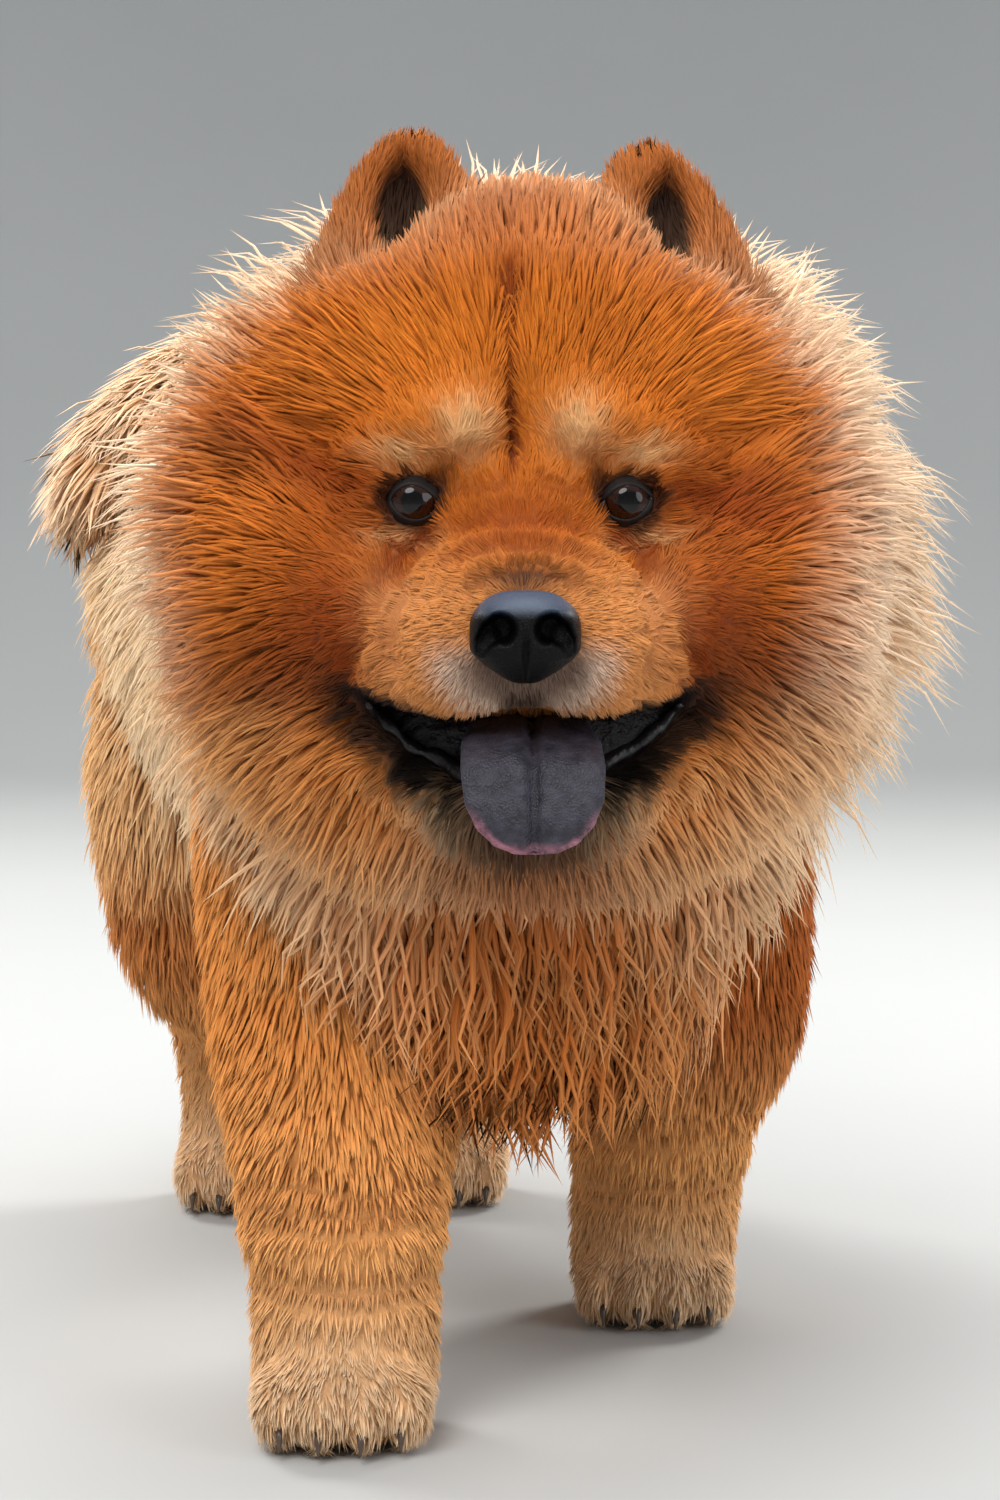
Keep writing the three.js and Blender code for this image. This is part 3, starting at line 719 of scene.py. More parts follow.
# Colours of the coat, the same on skin and tufts; some are also laid on as painted shade in creases, hollows and
# under folds, as marked below
tones = {
    "forehead": srgb(216, 122, 38), "cheek": srgb(150, 64, 16), "muzzle": srgb(228, 160, 100),
    "pale": srgb(250, 200, 142), "ruff": srgb(214, 128, 52), "ruffShade": srgb(116, 48, 14),
    "maneRoot": srgb(230, 164, 108), "maneTip": srgb(253, 224, 192), "chest": srgb(206, 118, 48),
    "chestTip": srgb(232, 172, 106), "body": srgb(248, 198, 142), "bodyTip": srgb(252, 228, 192),
    "leg": srgb(230, 144, 68), "legLow": srgb(244, 178, 110), "paw": srgb(240, 208, 172),
    "hind": srgb(202, 118, 58), "ear": srgb(196, 114, 56), "earCupShade": srgb(52, 30, 22), "mouth": srgb(13, 9, 9),
    "white": srgb(226, 218, 208), "dark": srgb(38, 20, 14), "nosePatch": srgb(84, 60, 50), "jaw": srgb(134, 72, 34),
}


def blendTo(colour, share, tone):
    # That share of the way from the colour to the tone
    return colour + (tones[tone] - colour) * np.clip(share, 0, 1)[:, None]


def coatColour(points, weights, t):
    # Colour of hair rooted at points, t of the way from root to tip: tones laid over each other by eased shares
    w = {name: weights[:, k] for k, name in enumerate(regionNames)}
    x, y, z = (points - headAt).T

    def plain(tone):
        return np.tile(tones[tone], (len(points), 1))

    def laid(over, share):
        return colour + (over - colour) * share[:, None]

    colour = blendTo(plain("body"), t * 1.1 - 0.2, "bodyTip")

    # Head: forehead, cheeks and ruff
    r = np.sqrt((x - 1) ** 2 + (z + 24) ** 2)
    side = np.abs(x - 1)
    head = plain("forehead")
    # Painted shade: the deepest red-brown patches are painted shade under the cheek folds at the mouth corners and in
    # the creases at the outer corners of the eyes; the cheek tone beside the eyes and on the cheeks by the muzzle is
    # partly the coat's own colour and partly painted shade
    # Soft patches: [tone, share, across, its middle, its width, height of the middle, its height, fade to the tip]
    for tone, share, across, at, wide, up, tall, fade in [
        ("cheek", 0.7, side, 66, 24, 2, 24, 0.0), ("cheek", 0.9, side, 76, 28, -46, 36, 0.0),
        ("ruffShade", 0.9, side, 88, 27, -70, 26, 0.3), ("ruffShade", 0.6, x, 84, 20, -6, 11, 0.4),
        ("ruffShade", 0.45, x, -84, 22, 6, 9, 0.4),
    ]:
        head = blendTo(head, share * bell(across - at, wide) * bell(z - up, tall) * (1 - fade * t), tone)
    head = blendTo(head, ease(100, 132, r) * (0.3 + 0.7 * t), "ruff")
    # Cream tips round the rim of the ruff, nearer in beside the left cheek, and faint on the crown
    rim, tipped = r + 10 * t, ease(0.1, 0.7, t)
    besideCheek = ease(50, 90, x) * ease(118, 76, z)
    head = blendTo(head, 0.9 * ease(116, 146, rim) * ease(84, 40, z) * ease(0.0, 0.7, t), "maneTip")
    head = blendTo(head, 0.85 * ease(102, 130, rim) * besideCheek * tipped, "maneTip")
    head = blendTo(head, 0.12 * ease(106, 132, rim) * ease(20, 70, z) * tipped, "maneTip")
    head = blendTo(head, 0.6 * ease(84, 112, r) * ease(-56, -84, z) * ease(0.1, 0.8, t), "chestTip")
    head = blendTo(head, 0.35 * ease(50, 90, z), "cheek")
    head = blendTo(head, 0.45 * valueNoise(points, 38.0, 21.0) * ease(60, 90, r), "cheek")
    # Pale spots over the eyes and below them
    for share, at, wide, up, tall in [(0.85, 22, 10, 27, 11), (0.75, 45, 11, 18, 5), (0.75, 44, 12, -15, 5)]:
        head = blendTo(head, share * bell(side - at, wide) * bell(z - up, tall), "pale")
    # Painted shade in the face's creases, laid on in the cheek tone
    fold = creaseShare(points, 0.75)
    head = blendTo(head, np.minimum(0.15 * fold, 0.8), "cheek")
    # Painted shade along the furrow: a dark line in it and a wider band of the cheek tone
    gap, where = nearLine(x, z, furrow)
    head = blendTo(head, 0.9 * bell(gap, 2.2) * ease(0, 0.2, where) * ease(60, 40, y), "dark")
    head = blendTo(head, 0.4 * bell(gap, 6) * ease(60, 40, y), "cheek")
    # Muzzle: paler, with short grey-white hair round the nose and lips
    head = blendTo(head, 0.62 * ease(0, -22, y) * ease(-8, -40, z) * ease(72, 46, side), "muzzle")
    head = blendTo(head, 0.75 * bell(side, 34) * bell(z + 8, 17), "cheek")
    near = np.sqrt((x - 1) ** 2 + (z + 56) ** 2 + (y + 80) ** 2)
    head = blendTo(head, 0.6 * ease(44, 27, near) * ease(-46, -62, z), "white")
    head = blendTo(head, 0.9 * bell(side, 12) * bell(z + 30, 4.5) * ease(-26, -46, y), "nosePatch")
    head = blendTo(head, 0.75 * ease(31, 20, near) * ease(-52, -60, z), "nosePatch")
    head = blendTo(head, 0.9 * ease(12, 5, side) * ease(-66, -74, z) * ease(-40, -60, y), "dark")
    # The hair round the mouth darkens to near black: its own wet dark fur, with painted shade
    mid = mouthLine(x)
    mouthNear = np.sqrt(((x - 2) / 76) ** 2 + ((z - mid) / np.where(z > mid, 15, 30)) ** 2)
    head = blendTo(head, 0.95 * ease(1.15, 0.85, mouthNear) * ease(60, 30, y), "dark")
    # Dark rims of the eyes: their own dark skin and hair with painted shade, and painted shade under the brow at each
    # inner corner
    for centre in eyes.values():
        ex, ey, ez = (points - centre).T
        inward = ex * np.sign(1 - centre[0] + headAt[0])
        around = np.sqrt((ex / 11.5) ** 2 + (ez / 9.4) ** 2)
        head = blendTo(head, 0.92 * ease(1.4, 1.0, around) * (ey < 12), "dark")
        head = blendTo(head, 0.75 * bell(inward - 12, 4.5) * bell(ez - 7, 8) * (ey < 12), "dark")
    colour = laid(head, w["head"] + w["muzzle"])

    # Mane: orange at the root and cream at the tip, with more orange in front
    mane = blendTo(plain("maneRoot"), ease(0.1, 0.75, t + 0.2 * ease(-170, -90, points[:, 1])), "maneTip")
    colour = laid(mane, w["neck"])
    bib = blendTo(plain("chest"), ease(0.4, 1.0, t) * 0.5, "chestTip")
    # Painted shade: darker down the middle of the lower bib, less towards the tips
    bib = blendTo(bib, 0.45 * bell(points[:, 0] - 12, 45) * ease(290, 230, points[:, 2]) * (1 - 0.5 * t), "cheek")
    bib = blendTo(bib, 0.4 * ease(70, 112, np.abs(points[:, 0] - 4)) * ease(160, 60, points[:, 0]), "maneTip")
    colour = laid(bib, w["bib"])
    jaw = blendTo(plain("jaw"), t * 0.4, "chest")
    # The jaw's hair darkens near the mouth: wet dark fur with painted shade
    jaw = blendTo(jaw, 0.9 * ease(1.35, 0.9, mouthNear), "dark")
    colour = laid(jaw, w["jaw"])
    # Dark inside the mouth, its own black skin with painted shade, and painted shade on the underside of its roof
    # down to a ragged edge
    inMouth = ease(1.15, 0.9, mouthShare(x, z)) * ease(64, 50, y)
    ragged = z + 6 * valueNoise(points, 7.0, 31.0)
    roof = ease(-79, -84, z) * ease(-118, -106, ragged) * ease(-78, -64, y) * ease(44, 10, y) * ease(68, 40, side)
    colour = blendTo(colour, 0.97 * np.maximum(inMouth, roof), "mouth")
    tail = blendTo(plain("chestTip"), 0.75 * ease(0.1, 0.8, t), "maneTip")
    colour = laid(tail, w["tail"])

    for name in legForms:
        limb = plain("leg" if name.startswith("front") else "hind")
        if name.startswith("hind"):
            limb = blendTo(limb, ease(180, 250, points[:, 2]), "body")
        limb = blendTo(limb, 0.3 * t, "chestTip")
        # The upper left front leg is darker red: partly its coat and partly painted shade
        if name == "front_leg_left":
            limb = blendTo(limb, 0.75 * ease(80, 140, points[:, 2]), "cheek")
        limb = blendTo(limb, ease(190, 70, points[:, 2]) * 0.85, "legLow")
        if name.startswith("front"):
            # Painted shade in the wrinkles across the front of the wrists
            inFront = ease(0, -20, (points - nearestTangent(points, name)[2])[:, 1])
            for wrinkle in wristWrinkles:
                gap = points[:, 2] - wrinkle - 4 - valueNoise(points, 30.0, 4.0) * 3
                limb = blendTo(limb, 0.36 * bell(gap, 2.0) * inFront, "cheek")
        colour = laid(limb, w[name])
    for name in paws:
        colour = laid(blendTo(plain("legLow"), 0.3 + 0.7 * t, "paw"), w[name])
    for name, (base, tip, facing) in ears.items():
        base, tip = np.asarray(base), np.asarray(tip)
        q = points - (base + (tip - base) * 0.2)
        facing = unit(np.asarray(facing, float))
        u, v = q @ facing, q @ unit(tip - base)
        # Painted shade: the ear's cup darkens to a deep brown
        cup = ease(1.2, 0.8, np.sqrt((u / 12) ** 2 + ((v + 3) / 24) ** 2)) * (q[:, 1] - 0.14 * v < 7)
        ear = blendTo(plain("ear"), 0.25 * t, "forehead")
        colour = laid(blendTo(ear, cup, "earCupShade"), w[name])
    return colour


skinWeights = regionWeights(skinPoints)
skinNormals = vertexNormals(skinPoints, skinFaces)


def coatShader():
    # The tuft's own colour, streaked and bumped along its strands
    tone = attribute("coatColour")
    place = Sock.node("ShaderNodeUVMap", {"uv_map": "strand"})
    place = Sock.node("ShaderNodeMapping", {}, {"Vector": place, "Scale": (4.5, 0.9, 1.0)})
    strands = noise(1.0, 2.0, 0.6, place)
    colour = mix(0.85, tone, mix(strands.over(0.3, 0.7), (0.72, 0.65, 0.6, 1), (1.24, 1.24, 1.24, 1)), "MULTIPLY")
    return {"Base Color": colour, "Roughness": 0.55 + strands * 0.2, "Normal": bumped(strands, 0.35, 0.0006)}


coatMaterial = material("coat", coatShader, Specular_IOR_Level=0.1)


def skinShader():
    # The coat's colour at its roots, darkened and bumped by a fine noise
    tone = attribute("coatColour")
    stretched = Sock.node("ShaderNodeMapping", {}, {"Vector": objectPoint(), "Scale": (3.0, 1.0, 1.0)})
    strands = noise(420.0, 4.0, 0.6, stretched)
    colour = mix(0.8, tone, mix(strands, (0.5, 0.44, 0.4, 1), (1.05, 1.0, 0.98, 1)), "MULTIPLY")
    return {"Base Color": colour, "Normal": bumped(strands, 0.6, 0.002)}


skinMaterial = material("under_coat", skinShader, Roughness=0.75, Specular_IOR_Level=0.2)
skin = meshObject("dog_skin", skinPoints, skinFaces)
# The skin takes the coat's colour near the root, dimmed a little as painted shade under the tufts
setColours(skin.data, coatColour(skinPoints, skinWeights, np.full(len(skinPoints), 0.2)) * 0.95)
skin.data.materials.append(skinMaterial)
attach(skin, "root")
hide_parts("head", "neck", "torso", "tail", *legForms, *paws, *ears)
say("skin coloured")


# The coat of each region: hairs to each square centimetre, size of its locks in millimetres, disorder from 0 to 1,
# then length in millimetres, lift off the skin from 0 to 1, droop, width in millimetres, and slot
coatColumns = ["hairs", "lock", "disorder", "length", "lift", "droop", "width", "slot"]
coatRows = {
    "head": [17.0, 9.0, 0.45, 6.5, 0.38, 0.04, 1.1, "face_coat"],
    "muzzle": [110.0, 4.0, 0.3, 5.0, 0.42, 0.03, 0.85, "face_coat"],
    "jaw": [18.0, 10.0, 0.9, 20.0, 0.35, 0.5, 1.6, "face_coat"],
    "neck": [12.0, 15.0, 1.0, 70.0, 0.55, 0.22, 1.6, "mane_coat"],
    "bib": [12.0, 15.0, 1.0, 62.0, 0.4, 0.45, 2.3, "mane_coat"],
    "torso": [4.9, 18.0, 0.9, 44.0, 0.42, 0.3, 3.0, "body_coat"],
    "tail": [15.0, 15.0, 0.8, 50.0, 0.36, 0.2, 2.5, "body_coat"],
    "front_leg": [15.0, 8.0, 0.5, 11.0, 0.36, 0.1, 1.3, "body_coat"],
    "hind_leg": [8.0, 11.0, 0.6, 10.0, 0.36, 0.1, 1.3, "body_coat"],
    "front_paw": [38.0, 6.0, 0.5, 9.5, 0.4, 0.05, 1.2, "paw_coat"],
    "hind_paw": [24.0, 7.0, 0.5, 9.5, 0.4, 0.05, 1.2, "paw_coat"],
    "ear": [44.0, 5.0, 0.5, 10.0, 0.42, 0.0, 1.15, "ear_coat"],
}
# Where hair grows longer than its region's length in the table, in millimetres: (upper leg, its back) for legs
longerHair = {
    "cheek": 9.0, "ruff": 49.5, "crown": 28.0, "muzzle": 2.4, "beard": 14.0, "belly": 14.0, "tailTip": 18.0,
    "front_leg": (12.0, 24.0), "hind_leg": (24.0, 22.0),
}


def coatOf(region):
    # Row of the table for a region, whose name loses its left or right
    kind = region.rsplit("_", 1)[0] if region.endswith(("_left", "_right")) else region
    return dict(zip(coatColumns, coatRows[kind]))


def coatFields(points, normals, weights):
    # Lie, length, lift, droop and width of the hair at each root: each region's own, summed by its weight
    x, y, z = (points - headAt).T
    px, _, pz = points.T
    lie = np.zeros_like(points)
    fields = np.zeros((4, len(points)))

    def add(name, direction, longer=0.0, lifted=0.0, fallen=0.0, wider=0.0):
        nonlocal lie
        own, share = coatOf(name), weights[:, regionNames.index(name)]
        lie = lie + unit(np.broadcast_to(direction, points.shape)) * share[:, None]
        more = {"length": longer, "lift": lifted, "droop": fallen, "width": wider}
        for k, field in enumerate(more):
            fields[k] += share * (own[field] + more[field])

    def towards(left, back, up):
        return np.stack(np.broadcast_arrays(left, back, up), 1)

    # The face's hair runs away from the nose and from each eye, short in front and long in the ruff
    away = points - inHead(0, -80, -36)
    for centre in eyes.values():
        gap = points - centre
        away = away + gap * (5.0 * bell(np.hypot(gap[:, 0], gap[:, 2]), 15))[:, None]
    crown = ease(50, 96, z)
    reach = ease(62, 126, np.hypot(x - 1, z + 24) + 0.25 * y - 14 * crown) * ease(-10, 40, y)
    inFront = longerHair["cheek"] * ease(-14, 30, y) * ease(24, 60, np.hypot(x - 1, z))
    inRuff = longerHair["ruff"] - longerHair["crown"] * crown
    add("head", away, inFront * (1 - reach) + inRuff * reach, 0.14 * reach, 0.2 * reach, 1.3 * reach)
    add("muzzle", away, longerHair["muzzle"] * ease(-60, 0, y))
    add("jaw", towards(x * 0.5, 2.0, -30.0), longerHair["beard"] * ease(-112, -130, z))
    add("neck", towards((px - 9) * 0.7, 70.0, (pz - 376) * 0.7 - 22))
    add("bib", towards((px - 10) * 0.25, -8.0, -60.0))
    add("torso", bodyBack * 0.8 + down * 0.55, longerHair["belly"] * ease(300, 250, pz))
    along, share, centre = nearestTangent(points, "tail")
    add("tail", along + unit(points - centre) * 0.3, -longerHair["tailTip"] * ease(0.7, 1.0, share))
    behind, high = ease(0.0, 0.8, normals[:, 1]), ease(70, 190, pz)
    for name in legForms:
        upper, back = longerHair[name.rsplit("_", 1)[0]]
        slope = 0.12 if name.startswith("front") else 0.3
        add(name, [0.0, slope, -1.0], upper * high + back * behind * high, 0.1 * behind, 0.0, 0.8 * high)
    for name in paws:
        add(name, [0.0, -0.5, -0.8])
    for name, (base, tip, facing) in ears.items():
        add(name, np.asarray(tip) - np.asarray(base) + np.array([0, 4, 0]))
    return lie, *fields


def cellPoint(points, size, salt):
    # Nearest jittered cell point of a cubic grid, for gathering hairs into locks, with its cell's hash
    base = np.floor(points / size)
    best = np.full(len(points), 1e9)
    chosen = np.zeros_like(points)
    cell = np.zeros_like(points)
    for i in (-1, 0, 1):
        for j in (-1, 0, 1):
            for k in (-1, 0, 1):
                near = base + np.array([i, j, k])
                jitter = np.stack([hash01(near, salt + a) for a in range(3)], 1)
                place = (near + jitter) * size
                gap = ((points - place) ** 2).sum(1)
                closer = gap < best
                best = np.where(closer, gap, best)
                chosen = np.where(closer[:, None], place, chosen)
                cell = np.where(closer[:, None], near, cell)
    return chosen, hash01(cell, salt + 7)


def unwrapped(points, name):
    # Place on the form's own unwrap: angle round its line across, and distance along it up
    along, share, centre = nearestTangent(points, name)
    side = np.array([1.0, 0.3, 0.0])
    side = side if abs(along[0] @ side) < 0.8 else np.array([0.0, 1.0, 0.0])
    across = unit(side - along * (along @ side)[:, None])
    up = np.cross(across, along)
    q = points - centre
    angle = np.arctan2((q * up).sum(1), (q * across).sum(1)) / (2 * np.pi) + 0.5
    fine = share + (q * along).sum(1) / 400
    return np.stack([np.clip(angle, 0, 1), np.clip(fine, 0, 1)], 1) * 0.99 + 0.003


# Shapes of a tuft: where its rings stand on it, their sizes, its wave as a share of its length, the wave's turns in
# radians, and how far its foot is sunk in the skin in millimetres
tuftShapes = {
    "plain": {"steps": [0.0], "size": [1.0], "wave": 0.015, "turns": 5.0, "sunk": 0.5},
    "short": {"steps": [0.0, 0.5], "size": [0.8, 0.8], "wave": 0.015, "turns": 5.0, "sunk": 1.2},
    "long": {"steps": [0.0, 0.34, 0.7], "size": [0.8, 1.0, 0.55], "wave": 0.045, "turns": 5.0, "sunk": 1.2},
    "wavy": {"steps": [0.0, 0.28, 0.54, 0.78], "size": [0.75, 1.0, 0.85, 0.55], "wave": 0.085, "turns": 8.5,
             "sunk": 1.2},
}


def tuftMesh(roots, normals, lie, length, lift, droop, thick, weights, lock, disorder, kind, salt, rng):
    # Closed tapered tufts with three sides, bent along a curve with a wave and gathered into locks
    values = {
        "wander": 0.4, "wanderSize": 26.0, "jitter": 0.14, "strays": 0.05, "strayLift": 0.2, "bend": 1.6,
        "pull": 0.5, "halfWidth": 0.62, "thickness": 0.34, "rootShade": 0.8, "lean": 0.36,
    }
    shape = tuftShapes[kind]
    steps = np.array(shape["steps"] + [1.0])
    count = len(roots)
    lie = unit(lie - normals * (lie * normals).sum(1)[:, None])
    swirl = np.cross(normals, lie)
    wander = valueNoise(roots, values["wanderSize"], salt) * values["wander"] + rng.normal(0, values["jitter"], count)
    lie = unit(lie + swirl * (wander * disorder)[:, None])
    swirl = np.cross(normals, lie)
    target, lockHash = cellPoint(roots, lock, salt + 2)
    spread = rng.uniform(1 - 0.3 * disorder, 1 + 0.2 * disorder, count)
    length = length * (1 + disorder * 0.45 * (lockHash - 0.5)) * spread
    stray = rng.random(count) < values["strays"]
    lift = np.clip(lift * rng.uniform(0.8, 1.2, count) + values["strayLift"] * disorder * stray, 0.08, 0.9)
    start = unit(normals * lift[:, None] + lie * (1 - lift[:, None]))
    end = unit(normals * (lift * 0.45)[:, None] + lie + down * droop[:, None] * values["bend"])
    pull = target - roots
    pull -= normals * (pull * normals).sum(1)[:, None]
    phase = rng.uniform(0, 6.28, count)
    wave = shape["wave"] * length
    foot = roots - normals * shape["sunk"]
    rings = len(steps) - 1
    points = np.empty((count, rings, 3, 3))
    for i, t in enumerate(steps[:-1]):
        # Bezier of start and end directions, plus a sideways wave, plus the pull towards the lock
        centre = foot + start * (length * (t - t * t / 2))[:, None] + end * (length * t * t / 2)[:, None]
        centre = centre + swirl * (wave * np.sin(phase + t * shape["turns"]) * t)[:, None]
        centre = centre + pull * (values["pull"] * t**1.4)
        wide = thick * shape["size"][i]
        across = swirl * (wide * values["halfWidth"])[:, None]
        out = unit(np.cross(start * (1 - t) + end * t, swirl)) * (wide * values["thickness"])[:, None]
        points[:, i, 0] = centre - across - out * 0.5
        points[:, i, 1] = centre + across - out * 0.5
        points[:, i, 2] = centre + out
    tip = foot + (start + end) * (length * 0.5)[:, None]
    tip = tip + swirl * (wave * np.sin(phase + shape["turns"]))[:, None] + pull * values["pull"]
    perTuft = rings * 3 + 1
    flat = np.concatenate([points.reshape(count, -1, 3), tip[:, None]], 1)
    flat[:, :, 2] = np.maximum(flat[:, :, 2], 0.8)
    faces = [[0, 2, 1]]
    for i in range(rings - 1):
        for k in range(3):
            a, b = i * 3 + k, i * 3 + (k + 1) % 3
            faces += [[a, b, a + 3], [b, b + 3, a + 3]]
    a = (rings - 1) * 3
    faces += [[a, a + 1, perTuft - 1], [a + 1, a + 2, perTuft - 1], [a + 2, a, perTuft - 1]]
    allFaces = (np.arange(count)[:, None, None] * perTuft + np.array(faces)).reshape(-1, 3)
    along = np.repeat(steps, [3] * rings + [1])
    across = np.append(np.tile([0.0, 1.0, 0.5], rings), 0.5)
    # Each tuft a little lighter or darker, and all darker at the root as painted shade
    tone = (1 + 0.2 * disorder * (lockHash - 0.5)) * rng.uniform(0.9, 1.1, count)
    colours = np.empty((count, perTuft, 3))
    shade = values["rootShade"]
    for t in np.unique(along):
        at = coatColour(roots, weights, np.full(count, t))
        at = at * (tone * (shade + (1 - shade) * min(1.0, t * 2.2 + 0.1)))[:, None]
        colours[:, along == t] = at[:, None]
    # Soft shading: each side's normal leans towards the skin's
    around = normals.copy()
    around[:, 2] = np.maximum(around[:, 2], -0.15)
    around = unit(around)
    sides = np.cross(start, swirl)
    own = np.stack([-swirl - sides * 0.5, swirl - sides * 0.5, sides], 1)
    own = np.concatenate([np.tile(own, (1, rings, 1)), sides[:, None]], 1)
    soft = unit(own * (1 - values["lean"]) + around[:, None] * values["lean"])
    strand = np.stack([across[None] + rng.integers(0, 500, count)[:, None] * 3.7, np.tile(along, (count, 1))], 2)
    return flat.reshape(-1, 3), allFaces, colours.reshape(-1, 3), soft.reshape(-1, 3), strand, across, along


def addCoat():
    # Tufts on roots spread at random over the skin by area and density, one piece for each region and kind of tuft
    values = {
        "most": 190000, "quickShare": 0.5, "bakePatch": 0.003, "seed": 11, "denserFace": 2.6, "eye": (9.0, 7.1),
        "nosePad": (17, 14), "kindLengths": (11.5, 30, 40),
    }
    rng = np.random.default_rng(values["seed"])
    a, b, c = (skinPoints[skinFaces[:, k]] for k in range(3))
    area = np.linalg.norm(np.cross(b - a, c - a), axis=1) / 200
    centres = (a + b + c) / 3
    faceWeights = skinWeights[skinFaces].mean(1)

    density = faceWeights @ np.array([coatOf(name)["hairs"] for name in regionNames])
    x, y, z = (centres - headAt).T
    # The face's short coat is denser in front
    inFront = faceWeights[:, regionNames.index("head")] * ease(110, 80, np.hypot(x - 1, z + 24)) * ease(60, 30, y)
    density = density * (1 + values["denserFace"] * inFront)
    # Nothing grows in the eyes, in the mouth or on its roof, under the nose pad, or on the soles
    bare = (mouthShare(x, z) < 1) & (y < 60) & (y > -75)
    bare |= (skinNormals[skinFaces[:, 0], 2] < -0.93) & (z > -92) & (z < -70) & (y < 20)
    wide, tall = values["nosePad"]
    bare |= (np.hypot((x - 1) / wide, (z + 50) / tall) < 1) & (y < -60)
    wide, tall = values["eye"]
    for centre in eyes.values():
        ex, ey, ez = (centres - centre).T
        bare |= (np.hypot(ex / wide, ez / tall) < 1) & (ey < 16)
    density[bare | (centres[:, 2] < 3)] = 0
    expected = area * density * 1.0
    counts = rng.poisson(expected)
    face = np.repeat(np.arange(len(skinFaces)), counts)
    u, v = rng.random((2, len(face)))
    over = u + v > 1
    u, v = np.where(over, 1 - u, u), np.where(over, 1 - v, v)
    corners = skinFaces[face]

    def blended(field):
        f = field[corners]
        return f[:, 0] * (1 - u - v)[:, None] + f[:, 1] * u[:, None] + f[:, 2] * v[:, None]

    roots = blended(skinPoints)
    normals = unit(blended(skinNormals))
    weights = blended(skinWeights)
    lie, length, lift, droop, thick = coatFields(roots, normals, weights)
    region = weights.argmax(1)
    shortest, short, wavy = values["kindLengths"]
    kinds = np.where(length < shortest, 0, np.where(length < short, 1, 2))
    kinds[(region == regionNames.index("bib")) & (length > wavy)] = 3
    total = 0
    for r, name in enumerate(regionNames):
        own = coatOf(name)
        for k, kind in enumerate(tuftShapes):
            picked = np.flatnonzero((region == r) & (kinds == k))
            if not len(picked):
                continue
            trianglesEach = 6 * len(tuftShapes[kind]["steps"]) - 2
            pieces = int(np.ceil(len(picked) * trianglesEach / values["most"]))
            for part, chosen in enumerate(np.array_split(picked, pieces)):
                points, faces, colours, soft, strand, across, along = tuftMesh(
                    roots[chosen], normals[chosen], lie[chosen], length[chosen], lift[chosen], droop[chosen],
                    thick[chosen], weights[chosen], own["lock"], own["disorder"], kind, 5.0 + r, rng)
                piece = meshObject(f"coat_{name}_{kind}_{part + 1}", points, faces)
                setColours(piece.data, colours)
                corner = faces.ravel()
                place = unwrapped(roots[chosen], name if name in regionLines else "head")
                spot = np.stack([across, along], 1)
                perPoint = (place[:, None] + spot[None] * values["bakePatch"]).reshape(-1, 2)
                bake = piece.data.uv_layers.new(name="OFBake")
                bake.data.foreach_set("uv", perPoint[corner].astype(np.float32).ravel())
                fine = piece.data.uv_layers.new(name="strand")
                fine.data.foreach_set("uv", strand.reshape(-1, 2)[corner].astype(np.float32).ravel())
                piece.data.normals_split_custom_set_from_vertices(soft)
                piece.data.materials.append(coatMaterial)
                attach(piece, "root")
                total += len(faces)
                say(f"{piece.name}: {len(chosen)} tufts, {len(faces)} triangles")
    say(f"coat {total} triangles")


addCoat()


def eyeballs():
    # Each ball is a sphere with a low dome over the iris, coloured by the cosine of the angle from its gaze
    values = {
        "outward": 0.05, "raised": 0.02, "dome": 0.045, "domeEdge": (0.80, 0.93), "pupilEdge": (0.925, 0.945),
        "irisEdge": (0.78, 0.72), "ringEdge": (0.68, 0.60), "pupil": srgb(5, 4, 5),
        "iris": (srgb(24, 11, 7), srgb(50, 24, 13)), "ring": srgb(10, 7, 7), "white": srgb(120, 100, 92),
    }
    for name, centre in eyes.items():
        side = 1 if name.endswith("left") else -1
        points, faces = egg((0, 0, 0), (1, 1, 1), around=48, rows=32)
        gaze = unit(np.array([side * values["outward"], -1.0, values["raised"]]))
        radius = eyeRadius * (1 + values["dome"] * ease(*values["domeEdge"], points @ gaze))
        ball = meshObject(f"eyeball_{name[4:]}", points * radius[:, None] + centre, faces)

        def shader():
            outward = vectorMaths("NORMALIZE", vectorMaths("SUBTRACT", objectPoint(), tuple(toScene(centre))))
            facing = vectorMaths("DOT_PRODUCT", outward, tuple(gaze), "Value")
            dark, light = values["iris"]
            colour = mix(noise(900.0, 3.0), rgba(dark), rgba(light))
            for edge, tone in [("pupilEdge", "pupil"), ("irisEdge", "ring"), ("ringEdge", "white")]:
                colour = mix(facing.over(*values[edge]), colour, rgba(values[tone]))
            return {"Base Color": colour}

        ball.data.materials.append(material(
            f"eye_{name[4:]}", shader, Roughness=0.07, Coat_Weight=0.0, Specular_IOR_Level=0.32))
        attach(ball, "root")
        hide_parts(name)


eyeballs()


